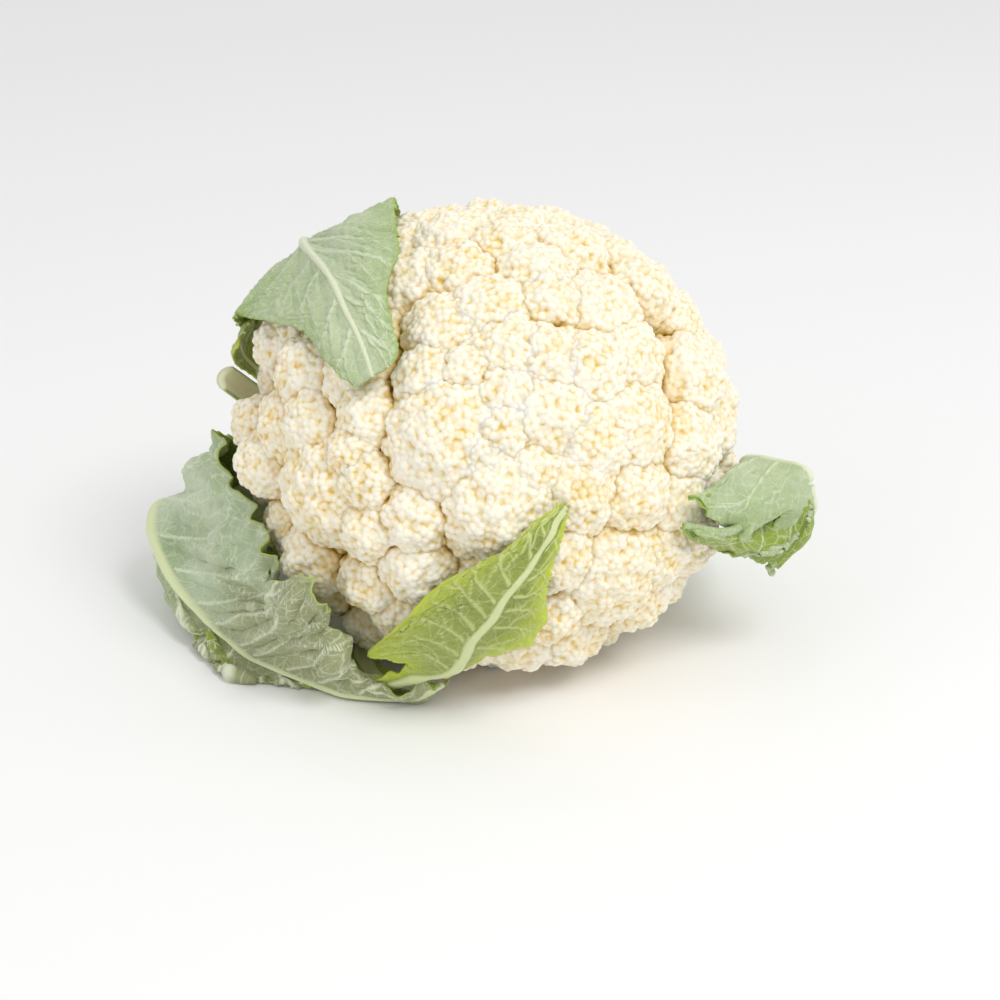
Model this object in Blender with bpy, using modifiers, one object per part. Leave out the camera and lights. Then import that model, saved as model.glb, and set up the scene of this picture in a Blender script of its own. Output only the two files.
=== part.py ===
"""A head of cauliflower lying on its side: the curd, its stalk, four leaves and the bases of cut leaves.

Metres, +Z up, the floor at z = 0. The head leans back, so that its crown faces -Y and up, and it
rests on a small flat spot of the curd and on the lower edge of the cut stalk.

Two kinds of place are used. A head place is (tilt, turn, clearance): degrees from the crown axis,
degrees round it from +X, and millimetres above the curd. A floor place is (x, y, height) in
millimetres: x and y from the middle of the head, and the height above the floor.
"""

import math

import bpy
import numpy as np
from mathutils import Matrix, Vector

MM = 0.001

# The head. Its crown axis leans back from upright by HEAD_LEAN.
HEAD_LEAN = math.radians(45)
HEAD_CENTRE = Vector((0.0068, 0.0075, 0.0685))
HALF_WIDTH = 0.0895
HALF_HEIGHT = 0.088
CROWN_HEIGHT = 0.085
BACK_DEPTH = 0.048
CORE_SHARE = 0.86
FLORET_BULGE = 1.3
CURD_SUBDIVISIONS = 5

# The hidden side is filled with florets of this radius, down to this tilt, wherever the nearest
# florets leave this share of their two radii, and a little more, free.
FILL_RADIUS = 0.0125
FILL_SHARE = 0.62
FILL_MARGIN = 0.004
FILL_TILT_LIMIT = 128
FILL_CANDIDATES = 900

# The stalk: a turned body on the crown axis, cut square at its end.
STALK_SEAT = 0.046
STALK_END = 0.0742
STALK_RADIUS = 0.0225
STALK_BUTT_RADIUS = 0.0243
STALK_SIDES = 36
FIT_GAP = 0.0003

# Leaves: the blade's own thickness, its gaps to the curd and the floor, and the share of its width
# that the midrib thickens, which is nearly all of the stem and less of the blade past STEM_LENGTH.
BLADE = 0.0013
LEAF_CLEARANCE = 0.0009
FLOOR_GAP = 0.0002
RIB_SHARE_OF_STEM = 0.95
RIB_SHARE_OF_BLADE = 0.40
STEM_LENGTH = 0.33
RIB_ROUNDNESS = 1.5
ROW_STEPS = 2
ACROSS_STEPS = 2

# Stumps of cut leaves: how many rows each has, and how far they hug the head and thin outwards.
STUMP_ROWS = 4
STUMP_START_TILT = 148
STUMP_LIFT = 9
STUMP_EDGE_DROP = 2
STUMP_TAPER = 0.15

CROWN_AXIS = Vector((0, -math.sin(HEAD_LEAN), math.cos(HEAD_LEAN)))
UP_AXIS = Vector((0, math.cos(HEAD_LEAN), math.sin(HEAD_LEAN)))
SIDE_AXIS = Vector((1, 0, 0))

# Florets that give the head its pattern, from the crown outwards: tilt, turn, radius in mm.
FLORETS = [
    (5, 30, 14), (7, 205, 9), (10, 288, 11), (14, 92, 14), (15, 2, 13), (16, 142, 13),
    (17, 193, 11), (18, 276, 11), (21, 318, 15), (23, 49, 11), (23, 238, 20), (24, 263, 11),
    (26, 359, 14), (30, 291, 9), (31, 67, 14), (33, 325, 14), (35, 199, 11), (36, 33, 15),
    (37, 179, 12), (38, 162, 15), (38, 10, 14), (38, 273, 19), (38, 131, 15), (40, 304, 15),
    (40, 85, 12), (41, 341, 17), (43, 209, 9), (44, 221, 10), (45, 242, 12), (49, 62, 15),
    (51, 104, 16), (52, 322, 13), (53, 190, 12), (54, 290, 13), (54, 172, 14), (55, 230, 11),
    (56, 37, 12), (58, 272, 14), (59, 248, 13), (59, 210, 20), (61, 347, 14), (63, 8, 16),
    (66, 332, 12), (69, 259, 14), (70, 306, 23), (71, 236, 11), (74, 319, 13), (76, 157, 12),
    (77, 191, 11), (79, 219, 12), (84, 277, 12), (84, 178, 10), (89, 290, 14), (94, 237, 9),
]
RESTING_FLORET = (107, 270, 22)


def head_direction(tilt, turn):
    """The world direction at a tilt from the crown axis and a turn round it, in degrees."""
    lean, spin = math.radians(tilt), math.radians(turn)
    outward = SIDE_AXIS * math.cos(spin) + UP_AXIS * math.sin(spin)
    return CROWN_AXIS * math.cos(lean) + outward * math.sin(lean)


def outline_radius(direction):
    """How far the head's smooth outline lies from its middle: half an ellipsoid for each side."""
    depth = direction.dot(CROWN_AXIS)
    reach = CROWN_HEIGHT if depth > 0 else BACK_DEPTH
    shares = (
        direction.dot(SIDE_AXIS) / HALF_WIDTH,
        direction.dot(UP_AXIS) / HALF_HEIGHT,
        depth / reach,
    )
    return 1 / math.sqrt(sum(share * share for share in shares))


def floret_ball(tilt, turn, radius):
    """Centre and radius of the ball whose top touches the outline and makes the floret's dome."""
    direction = head_direction(tilt, turn)
    ball = radius * FLORET_BULGE
    return direction * (outline_radius(direction) - ball), ball


def all_florets():
    """The named florets, then a golden spiral of smaller ones wherever there is still room."""
    florets = [(tilt, turn, radius * MM) for tilt, turn, radius in [*FLORETS, RESTING_FLORET]]
    placed = [(head_direction(tilt, turn), radius) for tilt, turn, radius in florets]
    golden = math.degrees(math.pi * (3 - math.sqrt(5)))
    for index in range(FILL_CANDIDATES):
        tilt = math.degrees(math.acos(1 - 2 * (index + 0.5) / FILL_CANDIDATES))
        turn = (index * golden) % 360
        if tilt > FILL_TILT_LIMIT:
            break
        direction = head_direction(tilt, turn)
        reach = outline_radius(direction)
        near = any(
            direction.angle(other) * reach < (radius + FILL_RADIUS) * FILL_SHARE + FILL_MARGIN
            for other, radius in placed
        )
        if not near:
            florets.append((tilt, turn, FILL_RADIUS))
            placed.append((direction, FILL_RADIUS))
    return florets


BALLS = [floret_ball(*floret) for floret in all_florets()]
BALL_CENTRES = np.array([centre[:] for centre, _ in BALLS])
BALL_RADII = np.array([ball for _, ball in BALLS])


def curd_radius(direction):
    """How far the curd's bumpy surface lies from the head's middle along this direction."""
    along = BALL_CENTRES @ np.array(direction[:])
    inside = BALL_RADII**2 - (BALL_CENTRES**2).sum(axis=1) + along**2
    hit = inside > 0
    domes = along[hit] + np.sqrt(inside[hit])
    return max(CORE_SHARE * outline_radius(direction), float(domes.max(initial=0.0)))


def on_head(tilt, turn, clearance):
    """World point of a head place."""
    direction = head_direction(tilt, turn)
    return HEAD_CENTRE + direction * (outline_radius(direction) + clearance * MM)


def by_floor(x, y, height):
    """World point of a floor place."""
    return Vector((HEAD_CENTRE.x + x * MM, HEAD_CENTRE.y + y * MM, height * MM))


def material(name, colour, roughness):
    made = bpy.data.materials.new(name)
    made.use_nodes = True
    shader = made.node_tree.nodes["Principled BSDF"]
    shader.inputs["Base Color"].default_value = (*colour, 1)
    shader.inputs["Roughness"].default_value = roughness
    shader.inputs["Metallic"].default_value = 0
    made.diffuse_color = (*colour, 1)
    return made


def collection(name):
    made = bpy.data.collections.new(name)
    bpy.context.scene.collection.children.link(made)
    return made


def place_in(group, obj):
    for old in list(obj.users_collection):
        old.objects.unlink(obj)
    group.objects.link(obj)
    return obj


def finish(obj, name, group, finish_material):
    """Names a piece, puts it in its collection and gives it its material and smooth shading."""
    obj.name = name
    obj.data.name = name
    obj.data.materials.append(finish_material)
    obj.data.shade_smooth()
    return place_in(group, obj)


def cutter(name, size, centre, turned, cutters):
    """A box that a Boolean takes away."""
    bpy.ops.mesh.primitive_cube_add(size=1)
    box = bpy.context.object
    box.name = name
    box.data.transform(Matrix.Translation(centre) @ turned @ Matrix.Diagonal((*size, 1)))
    box.hide_render = True
    box.display_type = "WIRE"
    return place_in(cutters, box)


def cut(obj, tool):
    boolean = obj.modifiers.new(f"cut by {tool.name}", "BOOLEAN")
    boolean.operation = "DIFFERENCE"
    boolean.solver = "EXACT"
    boolean.object = tool


def make_curd(group, floor_cutter, seat_cutter):
    """The whole curd as one solid: a sphere of fine faces moved out to the florets' domes."""
    bpy.ops.mesh.primitive_ico_sphere_add(subdivisions=CURD_SUBDIVISIONS, radius=1)
    curd = bpy.context.object
    for vertex in curd.data.vertices:
        direction = vertex.co.normalized()
        vertex.co = HEAD_CENTRE + direction * curd_radius(direction)
    finish(curd, "curd", group, material("curd_ivory", (0.86, 0.78, 0.56), 0.6))
    cut(curd, seat_cutter)
    cut(curd, floor_cutter)
    return curd


def make_stalk(group, floor_cutter):
    """The stalk, turned round the crown axis: a waist under the curd, then the wider cut butt."""
    top = -STALK_SEAT - FIT_GAP
    profile = [
        (0, top),
        (STALK_RADIUS * 0.98, top),
        (STALK_RADIUS * 0.96, top - 0.006),
        (STALK_RADIUS, top - 0.014),
        (STALK_BUTT_RADIUS, top - 0.022),
        (STALK_BUTT_RADIUS, -STALK_END + 0.0012),
        (STALK_BUTT_RADIUS - 0.0012, -STALK_END),
        (0, -STALK_END),
    ]
    mesh = bpy.data.meshes.new("stalk")
    edges = [(index, index + 1) for index in range(len(profile) - 1)]
    mesh.from_pydata([(radius, 0, height) for radius, height in profile], edges, [])
    stalk = bpy.data.objects.new("stalk", mesh)
    stalk.matrix_world = Matrix.Translation(HEAD_CENTRE) @ Matrix.Rotation(HEAD_LEAN, 4, "X")
    finish(stalk, "stalk", group, material("stalk_pale_green", (0.72, 0.74, 0.45), 0.5))
    screw = stalk.modifiers.new("turned", "SCREW")
    screw.steps = screw.render_steps = STALK_SIDES
    screw.use_merge_vertices = True
    screw.merge_threshold = 0.00005
    cut(stalk, floor_cutter)
    return stalk


def through(points, steps):
    """Points of a smooth Catmull-Rom curve through these, with its ends run straight on."""
    ends = [points[0] * 2 - points[1], *points, points[-1] * 2 - points[-2]]
    curve = []
    for index in range(len(points) - 1):
        a, b, c, d = ends[index : index + 4]
        for step in range(steps):
            t = step / steps
            curve.append(
                0.5 * (2 * b + (c - a) * t + (2 * a - 5 * b + 4 * c - d) * t**2
                       + (3 * b - a - 3 * c + d) * t**3)
            )
    return [*curve, points[-1]]


def kept_clear(point, half_thickness):
    """The point, moved out from the head's middle where it is too near the curd, and off the floor."""
    arm = point - HEAD_CENTRE
    least = curd_radius(arm.normalized()) + half_thickness + LEAF_CLEARANCE
    clear = point if arm.length >= least else HEAD_CENTRE + arm.normalized() * least
    return Vector((clear.x, clear.y, max(clear.z, half_thickness + FLOOR_GAP)))


def thickness_at(from_rib, along, rib, rib_end):
    """How thick a leaf is, by the share of its half width and the share of its length."""
    narrowed = (RIB_SHARE_OF_STEM - RIB_SHARE_OF_BLADE) * min(1, along / STEM_LENGTH)
    swell = max(0.0, 1 - from_rib / (RIB_SHARE_OF_STEM - narrowed))
    return BLADE + (rib + (rib_end - rib) * along - BLADE) * swell**RIB_ROUNDNESS


def make_leaf(name, group, rows, finish_material, rib, rib_end):
    """A leaf lofted through its rows, from the stalk to the tip, and thickened along its midrib.

    Each row runs across the blade. The midrib is rib thick at the stalk and rib_end at the tip.
    """
    across = [through(row, ACROSS_STEPS) for row in rows]
    lines = [through([row[column] for row in across], ROW_STEPS) for column in range(len(across[0]))]
    columns, length = len(lines), len(lines[0])
    bpy.ops.mesh.primitive_grid_add(x_subdivisions=columns - 1, y_subdivisions=length - 1, size=1)
    leaf = bpy.context.object
    group_of_rib = leaf.vertex_groups.new(name="rib")
    for vertex in leaf.data.vertices:
        column = round((vertex.co.x + 0.5) * (columns - 1))
        line = round((vertex.co.y + 0.5) * (length - 1))
        from_rib = abs(column / (columns - 1) - 0.5) * 2
        thickness = thickness_at(from_rib, line / (length - 1), rib, rib_end)
        vertex.co = kept_clear(lines[column][line], thickness / 2)
        group_of_rib.add([vertex.index], thickness / rib, "REPLACE")
    finish(leaf, name, group, finish_material)
    solid = leaf.modifiers.new("blade", "SOLIDIFY")
    solid.thickness = rib
    solid.offset = 0
    solid.vertex_group = "rib"
    solid.thickness_vertex_group = 0
    solid.use_even_offset = False
    return leaf


def floor_rows(rows):
    return [[by_floor(*place) for place in row] for row in rows]


def head_rows(rows):
    return [[on_head(*place) for place in row] for row in rows]


# The big wrapper leaf on the left: its midrib runs out behind the head, bends round the left side
# close to the floor and ends under the front. Row by row: upper margin, midrib in the middle,
# lower margin, which is tucked under.
LEFT_LEAF = floor_rows([
    [(-27, 36, 22), (-28, 39, 19), (-29, 43, 16), (-28, 45, 12), (-27, 46, 9)],
    [(-45, 42, 27), (-46, 48, 22), (-48, 51, 17), (-47, 50, 12), (-46, 47, 8)],
    [(-68, 42, 38), (-71, 48, 28), (-72, 51, 19), (-71, 49, 12), (-68, 44, 6)],
    [(-86, 32, 52), (-94, 42, 38), (-97, 46, 23), (-94, 42, 12), (-86, 34, 3)],
    [(-93, 16, 64), (-108, 30, 46), (-114, 37, 27), (-111, 32, 14), (-98, 24, 3)],
    [(-94, 4, 69), (-108, 20, 44), (-122, 26, 30), (-117, 22, 15), (-101, 14, 3)],
    [(-93, -8, 72), (-108, 6, 41), (-123, 16, 27), (-121, 15, 15), (-104, 8, 1)],
    [(-92, -14, 63), (-104, -3, 38), (-121, 9, 24), (-121, 8, 13), (-106, 0, 1)],
    [(-87, -28, 61), (-99, -12, 35), (-118, 1, 21), (-119, 0, 12), (-106, -6, 1)],
    [(-82, -37, 54), (-93, -22, 32), (-113, -8, 17), (-115, -9, 10), (-103, -13, 1)],
    [(-76, -48, 51), (-87, -31, 29), (-106, -16, 12), (-110, -18, 8), (-98, -19, 1)],
    [(-73, -51, 43), (-82, -38, 26), (-100, -24, 9), (-106, -27, 7), (-93, -25, 1)],
    [(-77, -37, 30), (-78, -48, 28), (-93, -31, 7), (-102, -34, 5), (-88, -29, 1)],
    [(-69, -62, 45), (-73, -60, 32), (-88, -37, 6), (-98, -41, 4), (-84, -33, 1)],
    [(-64, -72, 52), (-69, -64, 30), (-83, -42, 5), (-93, -47, 3), (-78, -37, 1)],
    [(-58, -77, 50), (-64, -67, 27), (-75, -48, 5), (-84, -51, 1), (-71, -40, 1)],
    [(-54, -76, 41), (-58, -68, 22), (-66, -53, 4), (-73, -53, 1), (-64, -42, 1)],
    [(-54, -69, 30), (-54, -68, 18), (-57, -58, 3), (-61, -55, 1), (-58, -44, 1)],
    [(-52, -65, 20), (-49, -68, 13), (-50, -62, 3), (-52, -55, 1), (-52, -46, 1)],
    [(-44, -65, 12), (-42, -67, 8), (-41, -64, 3), (-42, -58, 1), (-44, -51, 1)],
    [(-36, -68, 9), (-34, -68, 6), (-32, -65, 3), (-33, -61, 1), (-35, -56, 1)],
    [(-28, -71, 9), (-27, -70, 7), (-25, -68, 5), (-24, -66, 4), (-25, -63, 5)],
    [(-19, -74, 13), (-18, -73, 12), (-17, -72, 12), (-16, -71, 12), (-15, -71, 13)],
])

# The bright front leaf: a thin stem under the head, then a pointed blade that leans on the curd.
FRONT_STEM = floor_rows([
    [(-13, 23, 8), (-15, 25, 8), (-17, 27, 8), (-19, 29, 9), (-21, 31, 10)],
    [(-30, 8, 6), (-32, 9, 6), (-34, 10, 6), (-36, 11, 6), (-38, 12, 7)],
    [(-39, -14, 5), (-41, -15, 5), (-43, -16, 5), (-45, -17, 5), (-47, -18, 6)],
    [(-42, -38, 5), (-43, -39, 5), (-45, -40, 5), (-47, -41, 5), (-49, -42, 6)],
    [(-33, -59, 8), (-35, -60, 7), (-37, -62, 7), (-39, -63, 8), (-41, -64, 9)],
])
FRONT_BLADE = head_rows([
    [(82, 258, 4), (83, 257, 4), (83, 255, 4), (82, 253, 4), (81, 252, 4)],
    [(77, 264, 4), (78, 262, 4), (78, 261, 4), (78, 255, 5), (80, 250, 5)],
    [(73, 268, 4), (73, 266, 4), (71, 264, 5), (72, 255, 6), (80, 246, 6)],
    [(71, 272, 3), (68, 270, 5), (64, 266, 6), (67, 255, 6), (81, 243, 5)],
    [(69, 279, 3), (63, 275, 5), (59, 270, 6), (60, 257, 6), (73, 246, 4)],
    [(62, 283, 3), (57, 278, 5), (54, 273, 6), (55, 261, 6), (64, 250, 4)],
    [(55, 284, 3), (53, 280, 5), (51, 276, 6), (50, 265, 6), (55, 255, 4)],
    [(50, 286, 3), (49, 283, 4), (48, 280, 5), (46, 271, 5), (49, 262, 4)],
    [(47, 289, 3), (45, 287, 4), (45, 284, 4), (44, 278, 4), (46, 271, 3)],
    [(43, 292, 3), (42, 290, 3), (42, 288, 4), (40, 284, 4), (41, 279, 3)],
    [(40, 295, 3), (40, 293, 3), (40, 291, 3), (39, 289, 3), (38, 287, 3)],
    [(38, 297, 3), (38, 296, 3), (38, 296, 3), (37, 295, 3), (37, 294, 3)],
])

# The top leaf: it climbs the back of the head, folds over its upper left edge and hangs in front.
TOP_LEAF = head_rows([
    [(148, 132, 8), (148, 123, 9), (148, 115, 9), (148, 107, 9), (148, 98, 8)],
    [(130, 134, 6), (130, 127, 7), (130, 120, 8), (130, 113, 7), (130, 106, 6)],
    [(113, 140, 5), (113, 132, 6), (113, 125, 7), (113, 118, 6), (113, 111, 5)],
    [(98, 150, 8), (97, 139, 7), (97, 129, 7), (96, 120, 6), (94, 111, 5)],
    [(86, 155, 11), (84, 144, 9), (82, 133, 8), (76, 124, 5), (71, 113, 4)],
    [(77, 156, 12), (74, 147, 9), (70, 137, 6), (60, 130, 4), (52, 118, 3)],
    [(73, 157, 8), (64, 151, 4), (51, 144, 3), (43, 135, 3), (38, 125, 3)],
    [(59, 161, 3), (48, 158, 3), (43, 149, 3), (35, 143, 3), (32, 132, 3)],
    [(46, 166, 3), (40, 164, 3), (35, 159, 3), (30, 154, 3), (28, 146, 3)],
    [(39, 176, 3), (34, 174, 3), (30, 169, 3), (27, 165, 3), (23, 161, 3)],
    [(34, 186, 3), (31, 185, 3), (27, 181, 3), (24, 179, 3), (20, 177, 3)],
    [(31, 193, 3), (29, 193, 3), (26, 192, 3), (23, 190, 3), (21, 189, 3)],
])

# The right leaf: its midrib hugs the right side of the head, comes forward and turns down, with one
# half folded over in front and the other half curled under, so that a hollow shows between them.
RIGHT_LEAF = floor_rows([
    [(27, 36, 22), (28, 39, 19), (29, 43, 16), (28, 45, 12), (27, 46, 9)],
    [(44, 40, 31), (47, 46, 27), (49, 49, 22), (48, 48, 16), (46, 45, 12)],
    [(62, 34, 42), (67, 42, 38), (70, 47, 33), (70, 46, 24), (67, 42, 17)],
    [(80, 18, 48), (84, 24, 46), (87, 28, 41), (85, 24, 34), (80, 18, 29)],
    [(87, -4, 52), (91, 3, 52), (94, 8, 47), (91, 0, 40), (86, -6, 36)],
    [(84, -34, 60), (89, -21, 61), (93, 0, 54), (89, -25, 50), (83, -35, 48)],
    [(72, -58, 70), (81, -42, 68), (91, -8, 60), (86, -38, 56), (74, -56, 58)],
    [(65, -59, 74), (75, -51, 75), (88, -17, 68), (83, -42, 56), (63, -62, 67)],
    [(69, -59, 72), (79, -47, 71), (92, -20, 70), (88, -39, 53), (66, -60, 60)],
    [(74, -57, 66), (85, -42, 66), (97, -22, 70), (94, -36, 48), (72, -50, 52)],
    [(81, -43, 54), (89, -42, 64), (101, -24, 70), (98, -34, 44), (77, -39, 46)],
    [(85, -46, 52), (94, -40, 64), (105, -26, 70), (102, -34, 45), (82, -38, 43)],
    [(90, -42, 54), (99, -36, 63), (108, -28, 69), (105, -33, 47), (87, -36, 42)],
    [(94, -38, 56), (103, -34, 62), (109, -28, 65), (107, -32, 49), (91, -34, 39)],
    [(98, -36, 58), (105, -33, 59), (110, -28, 61), (108, -32, 49), (95, -32, 38)],
    [(99, -34, 56), (105, -32, 55), (111, -28, 55), (107, -31, 45), (97, -31, 36)],
    [(97, -33, 50), (103, -31, 49), (108, -28, 49), (103, -30, 41), (99, -30, 36)],
    [(98, -31, 43), (101, -30, 43), (104, -28, 44), (99, -30, 38), (98, -30, 36)],
    [(98, -30, 38), (100, -29, 38), (101, -28, 39), (97, -30, 35), (98, -29, 35)],
    [(96, -29, 34), (96, -29, 33), (97, -28, 32), (98, -28, 31), (99, -28, 31)],
])


def stump_rows(turn, end_tilt, half_width, drift=0):
    """Rows of the stump of a cut leaf, which hugs the back of the head from the stalk outwards.

    It starts at turn degrees round the crown axis and drifts by some more on its way to end_tilt.
    """
    rows = []
    for index in range(STUMP_ROWS):
        share = index / (STUMP_ROWS - 1)
        tilt = STUMP_START_TILT + (end_tilt - STUMP_START_TILT) * share
        off_axis = outline_radius(head_direction(tilt, turn)) * math.sin(math.radians(tilt))
        spread = math.degrees(half_width * (1 - STUMP_TAPER * share) / off_axis)
        rows.append([
            on_head(tilt, turn + drift * share + side * spread, STUMP_LIFT - abs(side) * STUMP_EDGE_DROP)
            for side in (-1, -0.5, 0, 0.5, 1)
        ])
    return rows


def main():
    for obj in list(bpy.data.objects):
        bpy.data.objects.remove(obj, do_unlink=True)

    head = collection("cauliflower")
    cutters = collection("cutters")
    floor_cutter = cutter("floor_cutter", (0.4, 0.4, 0.1), Vector((0, 0, -0.05)), Matrix(), cutters)
    seat_middle = HEAD_CENTRE - CROWN_AXIS * (STALK_SEAT + 0.05)
    leaned = Matrix.Rotation(HEAD_LEAN, 4, "X")
    seat_cutter = cutter("seat_cutter", (0.4, 0.4, 0.1), seat_middle, leaned, cutters)

    make_curd(head, floor_cutter, seat_cutter)
    make_stalk(head, floor_cutter)

    blue_green = material("leaf_blue_green", (0.42, 0.53, 0.36), 0.6)
    bright_green = material("leaf_bright_green", (0.50, 0.58, 0.18), 0.5)
    pale_rib = material("rib_pale", (0.78, 0.80, 0.58), 0.5)
    make_leaf("left_leaf", head, LEFT_LEAF, blue_green, 0.006, 0.002)
    make_leaf("front_leaf", head, FRONT_STEM + FRONT_BLADE, bright_green, 0.0045, 0.0015)
    make_leaf("top_leaf", head, TOP_LEAF, blue_green, 0.006, 0.0015)
    make_leaf("right_leaf", head, RIGHT_LEAF, blue_green, 0.006, 0.0015)
    side_stub = stump_rows(turn=158, end_tilt=88, half_width=0.007, drift=14)
    make_leaf("side_leaf_stub", head, side_stub, pale_rib, 0.006, 0.005)
    for number, (turn, end_tilt) in enumerate([(76, 118), (30, 122), (312, 122)], start=1):
        rows = stump_rows(turn, end_tilt, half_width=0.0078)
        make_leaf(f"cut_leaf_base_{number}", head, rows, pale_rib, 0.007, 0.006)


main()
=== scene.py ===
"""A head of cauliflower lying on its side: curd, stalk, four leaves and the bases of cut leaves.

Metres, +Z up, the floor at z = 0. The crown of the head faces -Y and up.
"""

import logging
import math
from dataclasses import dataclass, field
from enum import Enum

import bpy
import numpy as np
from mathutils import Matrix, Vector
from mathutils.kdtree import KDTree


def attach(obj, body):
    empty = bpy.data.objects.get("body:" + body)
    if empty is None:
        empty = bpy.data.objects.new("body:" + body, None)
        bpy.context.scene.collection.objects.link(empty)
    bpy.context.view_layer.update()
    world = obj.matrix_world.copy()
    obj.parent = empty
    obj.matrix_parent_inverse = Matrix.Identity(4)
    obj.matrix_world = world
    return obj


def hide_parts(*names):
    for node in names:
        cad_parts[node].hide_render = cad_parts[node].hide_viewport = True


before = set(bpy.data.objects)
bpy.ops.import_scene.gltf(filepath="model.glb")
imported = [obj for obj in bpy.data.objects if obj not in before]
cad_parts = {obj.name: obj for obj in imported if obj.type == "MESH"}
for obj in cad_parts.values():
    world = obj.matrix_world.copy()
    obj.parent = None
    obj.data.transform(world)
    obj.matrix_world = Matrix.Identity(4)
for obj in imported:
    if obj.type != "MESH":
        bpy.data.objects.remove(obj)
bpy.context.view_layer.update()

LOG = logging.getLogger("cauliflower")
MM = 0.001
CHUNK = 4000
FLOOR_TOUCH = 0.0002
Row = list[tuple[float, float, float]]
Colour = tuple[float, float, float]


class Slot(Enum):
    """Names for kinds of material, which the leaves carry."""

    CURD = "curd"
    STALK = "stalk"
    OUTER_LEAF = "outer_leaf"
    INNER_LEAF = "inner_leaf"
    LEAF_RIB = "leaf_rib"


# ----------------------------------------------------------------------------- the head's shape


@dataclass(frozen=True)
class HeadShape:
    """The head's smooth outline: half an ellipsoid in front, and a flatter half behind.

    A head place is (tilt, turn, clearance): degrees from the crown axis, degrees round it from +X,
    and millimetres above the outline. A floor place is (x, y, height) in millimetres.
    """

    lean: float = math.radians(45)
    centre: tuple[float, float, float] = (0.0068, 0.0075, 0.0685)
    half_width: float = 0.0895
    half_height: float = 0.088
    crown_height: float = 0.085
    back_depth: float = 0.048

    def axes(self) -> np.ndarray:
        """Side, up and crown axes as the rows of a matrix."""
        s, c = math.sin(self.lean), math.cos(self.lean)
        return np.array([(1, 0, 0), (0, c, s), (0, -s, c)])

    def direction(self, tilt: float, turn: float) -> np.ndarray:
        """World direction at a tilt from the crown axis and a turn round it, in degrees."""
        lean, spin = math.radians(tilt), math.radians(turn)
        local = (math.sin(lean) * math.cos(spin), math.sin(lean) * math.sin(spin), math.cos(lean))
        return np.array(local) @ self.axes()

    def outline(self, directions: np.ndarray) -> np.ndarray:
        """How far the outline lies from the middle of the head along unit directions.

        Args:
            directions: (n, 3) unit vectors, or one of them.

        Returns:
            One distance in metres for each.
        """
        local = directions @ self.axes().T
        reach = np.where(local[..., 2] > 0, self.crown_height, self.back_depth)
        shares = (local[..., 0] / self.half_width) ** 2 + (local[..., 1] / self.half_height) ** 2
        return 1 / np.sqrt(shares + (local[..., 2] / reach) ** 2)

    def on_head(self, tilt: float, turn: float, clearance: float) -> np.ndarray:
        """World point of a head place."""
        direction = self.direction(tilt, turn)
        return np.array(self.centre) + direction * (self.outline(direction) + clearance * MM)

    def by_floor(self, x: float, y: float, height: float) -> np.ndarray:
        """World point of a floor place."""
        return np.array((self.centre[0] + x * MM, self.centre[1] + y * MM, height * MM))


HEAD = HeadShape()
CENTRE = np.array(HEAD.centre)


# ------------------------------------------------------------------------------------ finishes


class Nodes:
    """A short way to lay out a material's nodes."""

    def __init__(self, name: str) -> None:
        """Makes an empty node material of that name with a Principled shader."""
        self.material = bpy.data.materials.new(name)
        self.material.use_nodes = True
        self.tree = self.material.node_tree
        self.shader = self.tree.nodes["Principled BSDF"]

    def add(self, kind: str, inputs: dict | None = None, **settings: object) -> bpy.types.Node:
        """Adds a node.

        Args:
            kind: the node's type name, without the ShaderNode in front.
            inputs: a value or an output socket for each named input.
            settings: properties of the node.

        Returns:
            The node.
        """
        node = self.tree.nodes.new(f"ShaderNode{kind}")
        for key, value in settings.items():
            setattr(node, key, value)
        for key, value in (inputs or {}).items():
            self.put(node.inputs[key], value)
        return node

    def put(self, socket: bpy.types.NodeSocket, value: object) -> None:
        """Links an output to a socket, or sets the socket's own value."""
        if isinstance(value, bpy.types.NodeSocket):
            self.tree.links.new(value, socket)
        else:
            socket.default_value = value

    def attribute(self, name: str) -> bpy.types.NodeSocket:
        """The number that the piece's own attribute holds at each point."""
        return self.add("Attribute", attribute_name=name).outputs["Fac"]

    def ramp(self, value: bpy.types.NodeSocket, stops: list) -> bpy.types.NodeSocket:
        """Colours along a number: stops are (place, (r, g, b))."""
        node = self.add("ValToRGB", {"Fac": value})
        elements = node.color_ramp.elements
        while len(elements) < len(stops):
            elements.new(0.5)
        for element, (place, colour) in zip(elements, stops):
            element.position = place
            element.color = (*colour, 1)
        return node.outputs["Color"]

    def mix(self, share: object, first: object, second: object) -> bpy.types.NodeSocket:
        """Mixes two colours by a share."""
        node = self.add("Mix", data_type="RGBA")
        self.put(node.inputs[0], share)
        self.put(node.inputs[6], first if not isinstance(first, tuple) else (*first, 1))
        self.put(node.inputs[7], second if not isinstance(second, tuple) else (*second, 1))
        return node.outputs[2]

    def noise(self, where: bpy.types.NodeSocket, scale: float, detail: float = 3) -> bpy.types.NodeSocket:
        """Soft noise between 0 and 1."""
        return self.add("TexNoise", {"Vector": where, "Scale": scale, "Detail": detail}).outputs["Fac"]

    def spread(self, value: object, low: float, high: float, to: tuple = (0.0, 1.0)) -> bpy.types.NodeSocket:
        """Spreads the part of a number between low and high over another range, clamped."""
        places = {"Value": value, "From Min": low, "From Max": high, "To Min": to[0], "To Max": to[1]}
        return self.add("MapRange", places).outputs["Result"]

    def maths(self, operation: str, first: object, second: object = 0.0) -> bpy.types.NodeSocket:
        """One sum on two numbers."""
        node = self.add("Math", operation=operation)
        self.put(node.inputs[0], first)
        self.put(node.inputs[1], second)
        return node.outputs[0]

    def bump(self, height: bpy.types.NodeSocket, distance: float, strength: float) -> None:
        """Adds fine relief to the shader."""
        node = self.add("Bump", {"Height": height, "Distance": distance, "Strength": strength})
        self.put(self.shader.inputs["Normal"], node.outputs["Normal"])


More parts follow.
